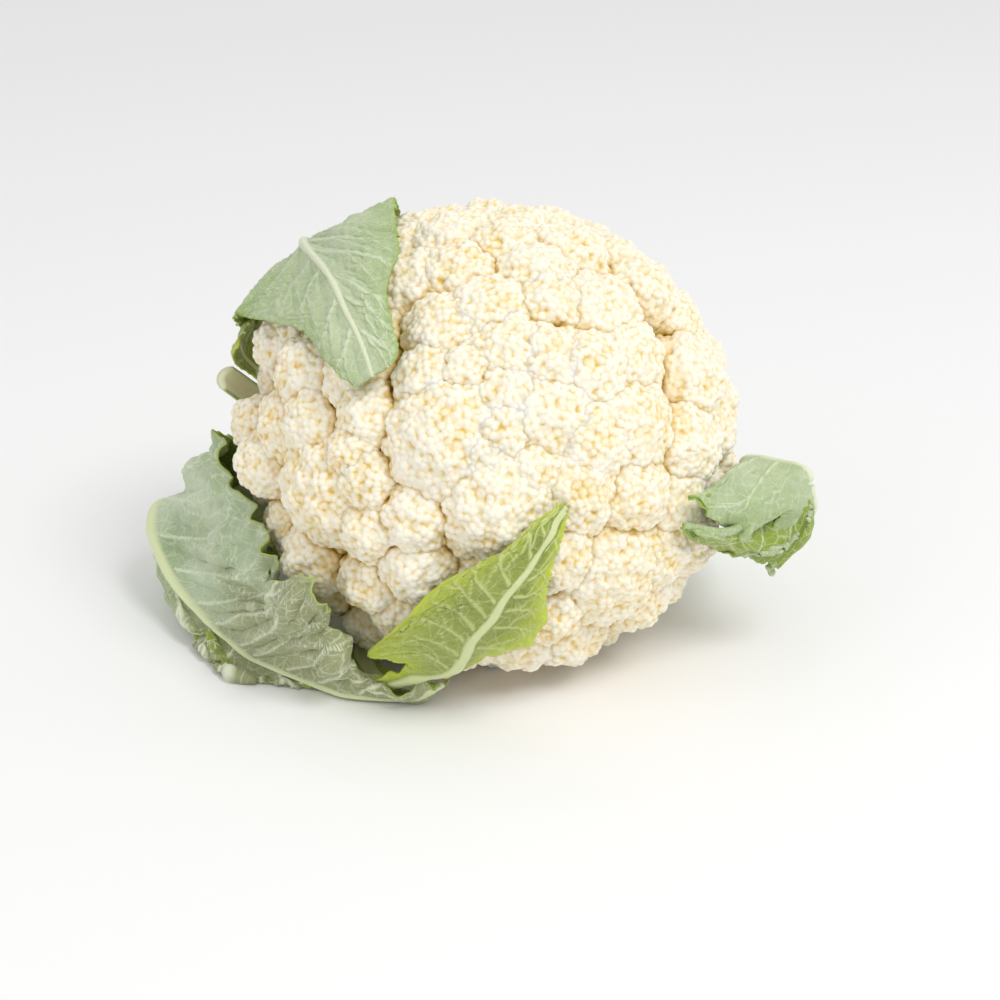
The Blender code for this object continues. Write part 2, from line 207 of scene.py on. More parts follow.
def srgb(red: int, green: int, blue: int) -> Colour:
    """A colour given on the usual 0 to 255 scale, as linear light."""
    return tuple(
        part / 12.92 if part <= 0.04045 else ((part + 0.055) / 1.055) ** 2.4
        for part in (red / 255, green / 255, blue / 255)
    )


@dataclass(frozen=True)
class CurdFinish:
    """Ivory buds with painted shade: golden where they lie deep between buds and lobes, olive brown deep
    between florets.
    """

    name: str = "curd_ivory"
    top: Colour = srgb(253, 245, 228)
    # Painted shade: the slope, crease, gap and deep colours darken and turn golden the deeper the curd lies
    # between buds, lobes and florets.
    slope_shade: Colour = srgb(250, 235, 200)
    crease: Colour = srgb(236, 203, 112)
    gap: Colour = srgb(220, 184, 84)
    deep: Colour = srgb(150, 124, 48)
    bud_scale: float = 640.0
    scatter: float = 0.35
    scatter_scale: float = 0.0022

    def build(self) -> bpy.types.Material:
        """Makes the material."""
        n = Nodes(self.name)
        where = n.add("TexCoord").outputs["Object"]
        # Painted shade masks: how deep each point lies between lobes, and between florets.
        crease, gap = n.attribute("crease"), n.attribute("gap")
        cells = n.add("TexVoronoi", {"Vector": where, "Scale": self.bud_scale, "Randomness": 0.85})
        buds = cells.outputs["Distance"]
        grains = n.add("TexVoronoi", {"Vector": where, "Scale": self.bud_scale * 2.3}).outputs["Distance"]
        patch = n.spread(n.noise(where, 30, 3), 0.35, 0.75, (-0.1, 0.1))
        # Painted shade between the buds: the edges of the bud cells read as a little deeper.
        between = n.spread(buds, 0.42, 0.8, (0.0, 0.16))
        depth = n.maths("ADD", n.maths("ADD", crease, patch), between)
        # Painted shade: ivory on the tops, darker down the slopes, golden deepest between lobes and buds.
        stops = [(0.16, self.top), (0.42, self.slope_shade), (0.86, self.crease), (1.0, self.gap)]
        fine = n.ramp(depth, stops)
        # Painted shade between florets: golden to olive brown where they meet and on the hidden walls.
        deep = n.ramp(gap, [(0.35, self.crease), (0.65, self.gap), (1.0, self.deep)])
        colour = n.mix(n.spread(gap, 0.3, 0.85), fine, deep)
        s = n.shader.inputs
        n.put(s["Base Color"], colour)
        n.put(s["Roughness"], n.spread(n.noise(where, 400, 2), 0.3, 0.7, (0.48, 0.62)))
        s["Subsurface Weight"].default_value = self.scatter
        s["Subsurface Radius"].default_value = (1.0, 0.72, 0.38)
        s["Subsurface Scale"].default_value = self.scatter_scale
        s["Specular IOR Level"].default_value = 0.35
        domes = n.maths("SUBTRACT", 1.0, n.maths("POWER", buds, 1.6))
        height = n.maths("SUBTRACT", domes, n.maths("MULTIPLY", grains, 0.22))
        n.bump(height, 0.0005, 0.45)
        return n.material


@dataclass(frozen=True)
class LeafFinish:
    """A waxy leaf: blade, pale veins, a finer net between them, and a paler or greener margin."""

    name: str
    blade: Colour
    shade: Colour
    vein: Colour
    rib: Colour
    edge: Colour
    bloom: Colour
    inner: Colour = srgb(140, 162, 40)
    # Partly a real olive tone, partly painted shade, for the low tip of a leaf.
    olive_and_shade_tone: Colour = srgb(140, 140, 84)
    margin: Colour = srgb(150, 176, 96)
    margin_share: float = 0.5
    bloom_share: float = 0.3
    vein_share: float = 0.85
    roughness: float = 0.5
    sheen: float = 0.15

    def build(self) -> bpy.types.Material:
        """Makes the material."""
        n = Nodes(self.name)
        where = n.add("TexCoord").outputs["Object"]
        flat = n.add("UVMap", uv_map="flat").outputs["UV"]
        vein, rib, edge = n.attribute("vein"), n.attribute("rib"), n.attribute("edge")
        colour = n.mix(n.spread(n.noise(where, 35, 4), 0.35, 0.65), self.blade, self.shade)
        speck = n.spread(n.noise(flat, 900, 3), 0.4, 0.75, (0.0, 0.35))
        colour = n.mix(speck, colour, self.shade)
        dusted = n.spread(n.noise(where, 60, 3), 0.42, 0.72, (0.0, self.bloom_share))
        colour = n.mix(dusted, colour, self.bloom)
        near_margin = n.spread(n.attribute("outwards"), 0.3, 0.95, (0.0, self.margin_share))
        colour = n.mix(near_margin, colour, self.margin)
        # Towards the tip: partly an olive tone, partly painted shade on the low part of the leaf.
        colour = n.mix(n.attribute("age"), colour, self.olive_and_shade_tone)
        colour = n.mix(n.attribute("inside"), colour, self.inner)
        warp = n.add("TexNoise", {"Vector": flat, "Scale": 180.0, "Detail": 2.0}).outputs["Color"]
        shifted = n.add("VectorMath", {"Vector": warp, "Scale": 0.0022}, operation="SCALE").outputs[0]
        bent = n.add("VectorMath", operation="ADD")
        n.put(bent.inputs[0], flat)
        n.put(bent.inputs[1], shifted)
        net = []
        for scale, width in ((190.0, 0.055), (460.0, 0.08)):
            inputs = {"Vector": bent.outputs[0], "Scale": scale}
            cells = n.add("TexVoronoi", inputs, feature="DISTANCE_TO_EDGE")
            net.append(n.spread(cells.outputs["Distance"], 0.0, width, (1.0, 0.0)))
        threads = n.maths("MAXIMUM", n.maths("MULTIPLY", net[0], 0.62), n.maths("MULTIPLY", net[1], 0.3))
        colour = n.mix(n.maths("MULTIPLY", threads, 0.8), colour, self.vein)
        colour = n.mix(n.spread(vein, 0.2, 0.95, (0.0, self.vein_share)), colour, self.vein)
        colour = n.mix(n.spread(edge, 0.35, 1.0), colour, self.edge)
        colour = n.mix(rib, colour, self.rib)
        s = n.shader.inputs
        n.put(s["Base Color"], colour)
        shine = (self.roughness - 0.07, self.roughness + 0.1)
        n.put(s["Roughness"], n.spread(n.noise(flat, 300, 2), 0.3, 0.7, shine))
        s["Subsurface Weight"].default_value = 0.12
        s["Subsurface Radius"].default_value = (0.5, 1.0, 0.2)
        s["Subsurface Scale"].default_value = 0.0012
        s["Sheen Weight"].default_value = self.sheen
        s["Sheen Roughness"].default_value = 0.6
        relief = n.maths("SUBTRACT", n.noise(flat, 700, 3), n.maths("MULTIPLY", threads, 0.8))
        n.bump(relief, 0.0004, 0.5)
        return n.material


@dataclass(frozen=True)
class StalkFinish:
    """Pale, moist stalk: fine fibres along it and rings on the cut end."""

    name: str = "stalk_pale_green"
    skin: Colour = srgb(205, 214, 160)
    fibre: Colour = srgb(226, 230, 190)
    scar: Colour = srgb(188, 176, 120)
    cut: Colour = srgb(240, 238, 208)

    def build(self) -> bpy.types.Material:
        """Makes the material."""
        n = Nodes(self.name)
        where = n.add("TexCoord").outputs["Object"]
        cut, scar = n.attribute("cut"), n.attribute("scar")
        fibres = n.noise(where, 260, 5)
        colour = n.mix(n.spread(fibres, 0.35, 0.65), self.skin, self.fibre)
        colour = n.mix(n.spread(n.noise(where, 45, 3), 0.5, 0.8, (0.0, 0.5)), colour, self.scar)
        colour = n.mix(cut, colour, self.cut)
        colour = n.mix(scar, colour, self.scar)
        s = n.shader.inputs
        n.put(s["Base Color"], colour)
        n.put(s["Roughness"], n.spread(fibres, 0.3, 0.7, (0.38, 0.52)))
        s["Subsurface Weight"].default_value = 0.25
        s["Subsurface Radius"].default_value = (1.0, 1.0, 0.4)
        s["Subsurface Scale"].default_value = 0.002
        n.bump(n.noise(where, 700, 4), 0.0004, 0.5)
        return n.material


BLUE_GREEN = LeafFinish(
    name="leaf_blue_green",
    blade=srgb(206, 218, 186),
    shade=srgb(152, 172, 126),
    vein=srgb(228, 234, 206),
    rib=srgb(220, 228, 180),
    edge=srgb(166, 184, 96),
    bloom=srgb(204, 214, 194),
    margin=srgb(158, 180, 130),
    margin_share=0.3,
    vein_share=0.95,
)
BRIGHT_GREEN = LeafFinish(
    name="leaf_bright_green",
    blade=srgb(150, 164, 66),
    shade=srgb(124, 140, 48),
    vein=srgb(206, 214, 140),
    rib=srgb(214, 222, 164),
    edge=srgb(192, 206, 60),
    bloom=srgb(170, 184, 96),
    margin=srgb(188, 204, 40),
    margin_share=1.0,
    bloom_share=0.25,
    roughness=0.45,
)
SAGE_GREEN = LeafFinish(
    name="leaf_sage_green",
    blade=srgb(186, 200, 158),
    shade=srgb(158, 178, 124),
    vein=srgb(220, 228, 198),
    rib=srgb(226, 232, 200),
    edge=srgb(158, 184, 84),
    bloom=srgb(208, 218, 194),
    margin=srgb(162, 186, 110),
)
PALE_RIB = LeafFinish(
    name="rib_pale",
    blade=srgb(214, 220, 172),
    shade=srgb(196, 208, 146),
    vein=srgb(228, 232, 196),
    rib=srgb(230, 232, 196),
    edge=srgb(160, 184, 96),
    bloom=srgb(220, 226, 198),
)


# --------------------------------------------------------------------------------- mesh helpers


def clear_selection() -> None:
    """Deselects everything, so that an operator meets only what it should."""
    for obj in bpy.context.selected_objects:
        obj.select_set(False)


def triangles_of(mesh: bpy.types.Mesh) -> np.ndarray:
    """(n, 3) vertex numbers of a mesh's triangles."""
    mesh.calc_loop_triangles()
    found = np.empty(len(mesh.loop_triangles) * 3, np.int32)
    mesh.loop_triangles.foreach_get("vertices", found)
    return found.reshape(-1, 3)


def points_of(mesh: bpy.types.Mesh) -> np.ndarray:
    """(n, 3) places of a mesh's vertices."""
    found = np.empty(len(mesh.vertices) * 3, np.float32)
    mesh.vertices.foreach_get("co", found)
    return found.reshape(-1, 3).astype(float)


def set_points(mesh: bpy.types.Mesh, points: np.ndarray) -> None:
    """Moves a mesh's vertices."""
    mesh.vertices.foreach_set("co", points.astype(np.float32).ravel())
    mesh.update()


def set_attribute(mesh: bpy.types.Mesh, name: str, values: np.ndarray) -> None:
    """Gives each vertex a number that a material can read."""
    layer = mesh.attributes.new(name, "FLOAT", "POINT")
    layer.data.foreach_set("value", values.astype(np.float32))


def mesh_piece(name: str, points: np.ndarray, triangles: np.ndarray, values: dict) -> bpy.types.Object:
    """A new object from points and triangles, smooth, with its attributes.

    Args:
        name: the piece's name.
        points: (n, 3) places in metres.
        triangles: (m, 3) vertex numbers, turned so that faces point outwards.
        values: one array of n numbers for each attribute.

    Returns:
        The object, in the scene.
    """
    mesh = bpy.data.meshes.new(name)
    mesh.from_pydata(points, [], triangles.tolist())
    for key, numbers in values.items():
        set_attribute(mesh, key, numbers)
    mesh.shade_smooth()
    piece = bpy.data.objects.new(name, mesh)
    bpy.context.scene.collection.objects.link(piece)
    return piece


def vertex_normals(points: np.ndarray, triangles: np.ndarray) -> np.ndarray:
    """Unit normals at the vertices, weighted by the area of the faces round them."""
    a, b, c = (points[triangles[:, k]] for k in range(3))
    across = np.cross(b - a, c - a)
    summed = np.zeros_like(points)
    for axis in range(3):
        weights = np.tile(across[:, axis], 3)
        summed[:, axis] = np.bincount(triangles.T.ravel(), weights, len(points))
    return summed / np.maximum(np.linalg.norm(summed, axis=1, keepdims=True), 1e-12)


def adopt(piece: bpy.types.Object, finish: bpy.types.Material, node: str) -> bpy.types.Object:
    """Gives a piece its material, its body and the frame node that it stands for."""
    piece.data.materials.clear()
    piece.data.materials.append(finish)
    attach(piece, "root")
    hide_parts(node)
    LOG.info("%s: %d faces, for %s", piece.name, len(piece.data.polygons), node)
    return piece


def edges_of(triangles: np.ndarray) -> np.ndarray:
    """(3 m, 2) vertex numbers of the sides of m triangles."""
    return np.concatenate([triangles[:, [0, 1]], triangles[:, [1, 2]], triangles[:, [2, 0]]])


# -------------------------------------------------------------------------------------- the curd


BALL_FACES = 320
UNIT_TRIANGLE = 0.433


@dataclass(frozen=True)
class Lobing:
    """One size of swelling: its spacing in millimetres, and the rest as shares of the spacing."""

    spacing: float
    roundness: float
    unevenness: float
    deepest: float
    weight: float


@dataclass
class Curd:
    """The curd: florets that swell from the outline as balls, covered in lobes and then in buds."""

    towards_viewer: tuple[float, float, float] = (0, -0.906, 0.423)
    behind_limit: float = -0.25
    lowest_seen: float = -0.2
    core_share: float = 0.86
    bulge: float = 1.3
    fill_radius: float = 0.0125
    fill_share: float = 0.62
    fill_margin: float = 0.004
    fill_tilt_limit: float = 128
    fill_candidates: int = 900
    hidden_depth: float = 0.0038
    fine_edge: float = 0.00052
    coarse_edge: float = 0.00092
    root_share: float = 0.72
    root_depth: float = 0.012
    closest: float = 0.74
    most_faces: int = 150_000
    fewest_faces: int = 60
    quick_factor: float = 1.7
    # Painted shade between florets: full at this depth below the outline, with its share, and where a floret
    # runs into its neighbours.
    gap_shade_depth: float = 0.016
    gap_shade_share: float = 0.75
    seam_shade_margin: float = 0.0006
    seam_shade_share: float = 0.5
    seed: int = 11
    lobings: tuple[Lobing, ...] = (
        Lobing(spacing=10.5, roundness=0.9, unevenness=0.12, deepest=0.22, weight=0.24),
        Lobing(spacing=3.3, roundness=0.82, unevenness=0.14, deepest=0.34, weight=0.62),
    )
    # The florets that give the head its pattern: tilt, turn, radius in mm.
    florets: tuple = (
        (5, 30, 14), (7, 205, 9), (10, 288, 11), (14, 92, 14), (15, 2, 13), (16, 142, 13),
        (17, 193, 11), (18, 276, 11), (21, 318, 15), (23, 49, 11), (23, 238, 20), (24, 263, 11),
        (26, 359, 14), (30, 291, 9), (31, 67, 14), (33, 325, 14), (35, 199, 11), (36, 33, 15),
        (37, 179, 12), (38, 162, 15), (38, 10, 14), (38, 273, 19), (38, 131, 15), (40, 304, 15),
        (40, 85, 12), (41, 341, 17), (43, 209, 9), (44, 221, 10), (45, 242, 12), (49, 62, 15),
        (51, 104, 16), (52, 322, 13), (53, 190, 12), (54, 290, 13), (54, 172, 14), (55, 230, 11),
        (56, 37, 12), (58, 272, 14), (59, 248, 13), (59, 210, 20), (61, 347, 14), (63, 8, 16),
        (66, 332, 12), (69, 259, 14), (70, 306, 23), (71, 236, 11), (74, 319, 13), (76, 157, 12),
        (77, 191, 11), (79, 219, 12), (84, 277, 12), (84, 178, 10), (89, 290, 14), (94, 237, 9),
        (107, 270, 22),
    )
    # Florets that stand proud of the outline, in millimetres.
    proud: dict = field(default_factory=lambda: {
        (23, 238): 3.5, (38, 273): 3.0, (59, 210): 1.0, (77, 191): 4.5, (84, 178): 5.0, (76, 157): 4.5,
        (54, 172): 2.0, (79, 219): 3.0, (56, 37): 2.5, (63, 8): 2.0, (61, 347): 1.5,
    })

    def __post_init__(self) -> None:
        """Works out every floret's ball."""
        self.balls = [self.ball(*floret) for floret in self.all_florets()]
        self.centres = np.array([centre for centre, _, _ in self.balls])
        self.radii = np.array([radius for _, radius, _ in self.balls])

    def ball(self, tilt: float, turn: float, radius: float) -> tuple[np.ndarray, float, np.ndarray]:
        """Centre, radius and direction of the ball whose top makes a floret's dome."""
        direction = HEAD.direction(tilt, turn)
        ball = radius * self.bulge
        lift = self.proud.get((tilt, turn), 0) * MM
        return direction * (HEAD.outline(direction) - ball + lift), ball, direction

    def all_florets(self) -> list[tuple[float, float, float]]:
        """The named florets, then a golden spiral of smaller ones wherever there is still room."""
        florets = [(tilt, turn, radius * MM) for tilt, turn, radius in self.florets]
        placed = [(HEAD.direction(tilt, turn), radius) for tilt, turn, radius in florets]
        golden = math.degrees(math.pi * (3 - math.sqrt(5)))
        for index in range(self.fill_candidates):
            tilt = math.degrees(math.acos(1 - 2 * (index + 0.5) / self.fill_candidates))
            turn = (index * golden) % 360
            if tilt > self.fill_tilt_limit:
                break
            direction = HEAD.direction(tilt, turn)
            reach = HEAD.outline(direction)
            near = any(
                math.acos(np.clip(direction @ other, -1, 1)) * reach
                < (radius + self.fill_radius) * self.fill_share + self.fill_margin
                for other, radius in placed
            )
            if not near:
                florets.append((tilt, turn, self.fill_radius))
                placed.append((direction, self.fill_radius))
        return florets

    def reach(self, directions: np.ndarray) -> np.ndarray:
        """How far the curd lies from the middle of the head along unit directions."""
        along = directions @ self.centres.T
        inside = self.radii**2 - (self.centres**2).sum(axis=1) + along**2
        domes = np.where(inside > 0, along + np.sqrt(np.maximum(inside, 0)), 0).max(axis=1)
        return np.maximum(self.core_share * HEAD.outline(directions), domes)

    def master_ball(self, cuts: int) -> tuple[np.ndarray, np.ndarray]:
        """A unit ball of even triangles, from which each floret of that fineness is copied.

        Args:
            cuts: how often each side of the plain ball is cut.

        Returns:
            Its points and triangles.
        """
        clear_selection()
        bpy.ops.mesh.primitive_ico_sphere_add(subdivisions=3, radius=1)
        master = bpy.context.object
        if cuts:
            bpy.ops.object.mode_set(mode="EDIT")
            bpy.ops.mesh.select_all(action="SELECT")
            bpy.ops.mesh.subdivide(number_cuts=cuts)
            bpy.ops.object.mode_set(mode="OBJECT")
        points, triangles = points_of(master.data), triangles_of(master.data)
        bpy.data.objects.remove(master)
        return points / np.linalg.norm(points, axis=1, keepdims=True), triangles

    def behind(self, direction: np.ndarray) -> bool:
        """Whether a direction from the middle of the head points to its far side."""
        return direction @ np.array(self.towards_viewer) < self.behind_limit

    def swell(
        self, points: np.ndarray, triangles: np.ndarray, lobing: Lobing, random: np.random.Generator
    ) -> tuple[np.ndarray, np.ndarray]:
        """Carves the valleys between one size of swelling.

        Args:
            points: (n, 3) vertices of a floret.
            triangles: its triangles.
            lobing: the size of the swellings.
            random: the source of their places.

        Returns:
            The moved points, and how deep each lies below the tops as a share of the spacing.
        """
        spacing = lobing.spacing * MM
        free = random.permutation(len(points))
        seeds = []
        while len(free):
            seeds.append(free[0])
            apart = ((points[free] - points[free[0]]) ** 2).sum(axis=1)
            free = free[apart > (spacing * self.closest) ** 2]
        tops = self.evened(points, points[seeds])
        radii = spacing * lobing.roundness * random.uniform(0.9, 1.12, len(seeds))
        drops = spacing * lobing.unevenness * random.uniform(0, 1, len(seeds))
        best = np.empty(len(points))
        for start in range(0, len(points), CHUNK):
            part = points[start : start + CHUNK]
            apart = (part**2).sum(1)[:, None] + (tops**2).sum(1)[None] - 2 * part @ tops.T
            domes = np.sqrt(np.maximum(radii**2 - apart, 0)) - radii - drops
            best[start : start + CHUNK] = domes.max(axis=1)
        best = np.maximum(best, -lobing.deepest * spacing)
        return points + vertex_normals(points, triangles) * best[:, None], -best / (lobing.deepest * spacing)

    def evened(self, points: np.ndarray, tops: np.ndarray) -> np.ndarray:
        """Moves each top to the middle of the points nearest to it, so that swellings sit evenly."""
        nearest = np.concatenate([
            ((tops**2).sum(1)[None] - 2 * points[start : start + CHUNK] @ tops.T).argmin(axis=1)
            for start in range(0, len(points), CHUNK)
        ])
        counts = np.maximum(np.bincount(nearest, minlength=len(tops)), 1)
        return np.column_stack([np.bincount(nearest, points[:, k], len(tops)) / counts for k in range(3)])

    def whole(self, triangles: np.ndarray, count: int) -> np.ndarray:
        """Keeps the largest connected part of some triangles, without pinched corners."""
        for _ in range(4):
            edges = np.sort(edges_of(triangles), axis=1)
            unique, uses = np.unique(edges, axis=0, return_counts=True)
            rim = np.bincount(unique[uses == 1].ravel(), minlength=count)
            pinched = (rim > 2)[triangles].any(axis=1)
            if not pinched.any():
                break
            triangles = triangles[~pinched]
        label = np.arange(count)
        while True:
            low = label[triangles].min(axis=1)
            before = label.copy()
            for k in range(3):
                np.minimum.at(label, triangles[:, k], low)
            label = label[label]
            if (label == before).all():
                break
        groups = label[triangles[:, 0]]
        names, sizes = np.unique(groups, return_counts=True)
        return triangles[groups == names[sizes.argmax()]]

    def floret(self, index: int, balls: dict, random: np.random.Generator) -> tuple | None:
        """One floret: the part of its ball that can be seen, lobed in two sizes, drawn in to a stem.

        Args:
            index: which of the balls.
            balls: master balls already made, by fineness.
            random: the source of its unevenness.

        Returns:
            Points, triangles, and the painted shade between lobes and between florets, or None if it is out
            of sight.
        """
        centre, radius, direction = self.balls[index]
        edge = self.coarse_edge if self.behind(direction) else self.fine_edge
        edge *= 1
        plain_edge = radius * math.sqrt(4 * math.pi / BALL_FACES / UNIT_TRIANGLE)
        cuts = max(0, round(plain_edge / edge) - 1)
        if cuts not in balls:
            balls[cuts] = self.master_ball(cuts)
        unit, triangles = balls[cuts]
        turn, _ = np.linalg.qr(random.normal(size=(3, 3)))
        turn *= np.sign(np.linalg.det(turn))
        unit = unit @ turn
        points = centre + unit * radius
        others = np.delete(np.arange(len(self.balls)), index)
        apart = np.linalg.norm(points[:, None] - self.centres[None, others], axis=2)
        buried = (self.radii[others] - apart).max(axis=1)
        seen = (buried < self.hidden_depth) & (unit @ direction > self.lowest_seen)
        triangles = triangles[seen[triangles].all(axis=1)]
        if len(triangles) < self.fewest_faces:
            return None
        triangles = self.whole(triangles, len(points))
        kept, triangles = np.unique(triangles, return_inverse=True)
        points, triangles, buried = points[kept], triangles.reshape(-1, 3), buried[kept]
        # Painted shade: the deeper a point lies between the lobes, the more shade.
        crease = np.zeros(len(points))
        for lobing in self.lobings:
            points, depth = self.swell(points, triangles, lobing, random)
            crease += lobing.weight * depth**2
        # Painted shade between florets: more with depth below the outline, and where a floret runs into its
        # neighbours.
        distance = np.linalg.norm(points, axis=1)
        below = HEAD.outline(points / distance[:, None]) - distance
        gap = np.clip(below / self.gap_shade_depth, 0, 1) * self.gap_shade_share
        gap += np.clip((buried + self.seam_shade_margin) / self.hidden_depth, 0, 1) * self.seam_shade_share
        return self.rooted(points + CENTRE, triangles, np.clip(crease, 0, 1), np.clip(gap, 0, 1), direction)

    def rooted(
        self,
        points: np.ndarray,
        triangles: np.ndarray,
        crease: np.ndarray,
        gap: np.ndarray,
        direction: np.ndarray,
    ) -> tuple:
        """Closes a floret: its rim is drawn in towards the middle of the head, and to a point.

        Args:
            points: (n, 3) vertices of the open cap.
            triangles: its triangles.
            crease: painted shade between the lobes, by how deep each vertex lies there.
            gap: painted shade between the florets, by how deep each vertex lies there.
            direction: from the middle of the head to the floret.

        Returns:
            Points, triangles, and the painted shade between lobes and between florets of the closed floret.
        """
        edges = edges_of(triangles)
        keys = edges.min(axis=1) * len(points) + edges.max(axis=1)
        _, first, uses = np.unique(keys, return_index=True, return_counts=True)
        rim = edges[first[uses == 1]]
        ring, local = np.unique(rim, return_inverse=True)
        local = local.reshape(-1, 2) + len(points)
        inner = CENTRE + (points[ring] - CENTRE) * self.root_share
        root = CENTRE + direction * self.root_depth
        last = len(points) + len(ring)
        walls = np.concatenate([
            np.column_stack([rim[:, 1], rim[:, 0], local[:, 0]]),
            np.column_stack([rim[:, 1], local[:, 0], local[:, 1]]),
            np.column_stack([local[:, 1], local[:, 0], np.full(len(rim), last)]),
        ])
        # The walls down to the root get full painted shade.
        extra = len(ring) + 1
        return (
            np.vstack([points, inner, root]),
            np.vstack([triangles, walls]),
            np.concatenate([crease, np.ones(extra)]),
            np.concatenate([gap, np.ones(extra)]),
        )

    def build(self) -> list[bpy.types.Object]:
        """Makes every floret and joins neighbours into pieces of a handy size."""
        random = np.random.default_rng(self.seed)
        finish = CurdFinish().build()
        balls: dict = {}
        pieces, batch, faces = [], [], 0
        order = sorted(range(len(self.balls)), key=lambda index: self.behind(self.balls[index][2]))
        for index in order:
            made = self.floret(index, balls, random)
            if made is None:
                continue
            if faces + len(made[1]) > self.most_faces:
                pieces.append(self.join(batch, len(pieces) + 1, finish))
                batch, faces = [], 0
            batch.append(made)
            faces += len(made[1])
        pieces.append(self.join(batch, len(pieces) + 1, finish))
        return pieces

    def join(self, batch: list, number: int, finish: bpy.types.Material) -> bpy.types.Object:
        """Joins some florets into one piece and rests it on the floor."""
        starts = np.cumsum([0, *(len(points) for points, _, _, _ in batch)])
        points = np.vstack([made[0] for made in batch])
        points[:, 2] = np.maximum(points[:, 2], 0)
        triangles = np.vstack([made[1] + start for made, start in zip(batch, starts)])
        # Painted shade between lobes and between florets, for the finish.
        values = {
            "crease": np.concatenate([made[2] for made in batch]),
            "gap": np.concatenate([made[3] for made in batch]),
        }
        piece = mesh_piece(f"curd_branch_{number:02d}", points, triangles, values)
        return adopt(piece, finish, "curd")


CURD = Curd()


# ---------------------------------------------------------------------------------------- leaves


def smooth_curve(points: np.ndarray, places: np.ndarray) -> np.ndarray:
    """Points of a Catmull-Rom curve, with its ends run straight on.

    Args:
        points: (n, ...) points that it goes through.
        places: where to read it, from 0 at the first point to n - 1 at the last.

    Returns:
        One point for each place.
    """
    ends = np.concatenate([(2 * points[0] - points[1])[None], points, (2 * points[-1] - points[-2])[None]])
    low = np.minimum(places.astype(int), len(points) - 2)
    t = (places - low).reshape((-1,) + (1,) * (points.ndim - 1))
    a, b, c, d = (ends[low + k] for k in range(4))
    return 0.5 * (2 * b + (c - a) * t + (2 * a - 5 * b + 4 * c - d) * t**2 + (3 * b - a - 3 * c + d) * t**3)


def swept(values: np.ndarray, low: float, high: float) -> np.ndarray:
    """A smooth step from 0 at low to 1 at high."""
    t = np.clip((values - low) / (high - low), 0, 1)
    return t * t * (3 - 2 * t)


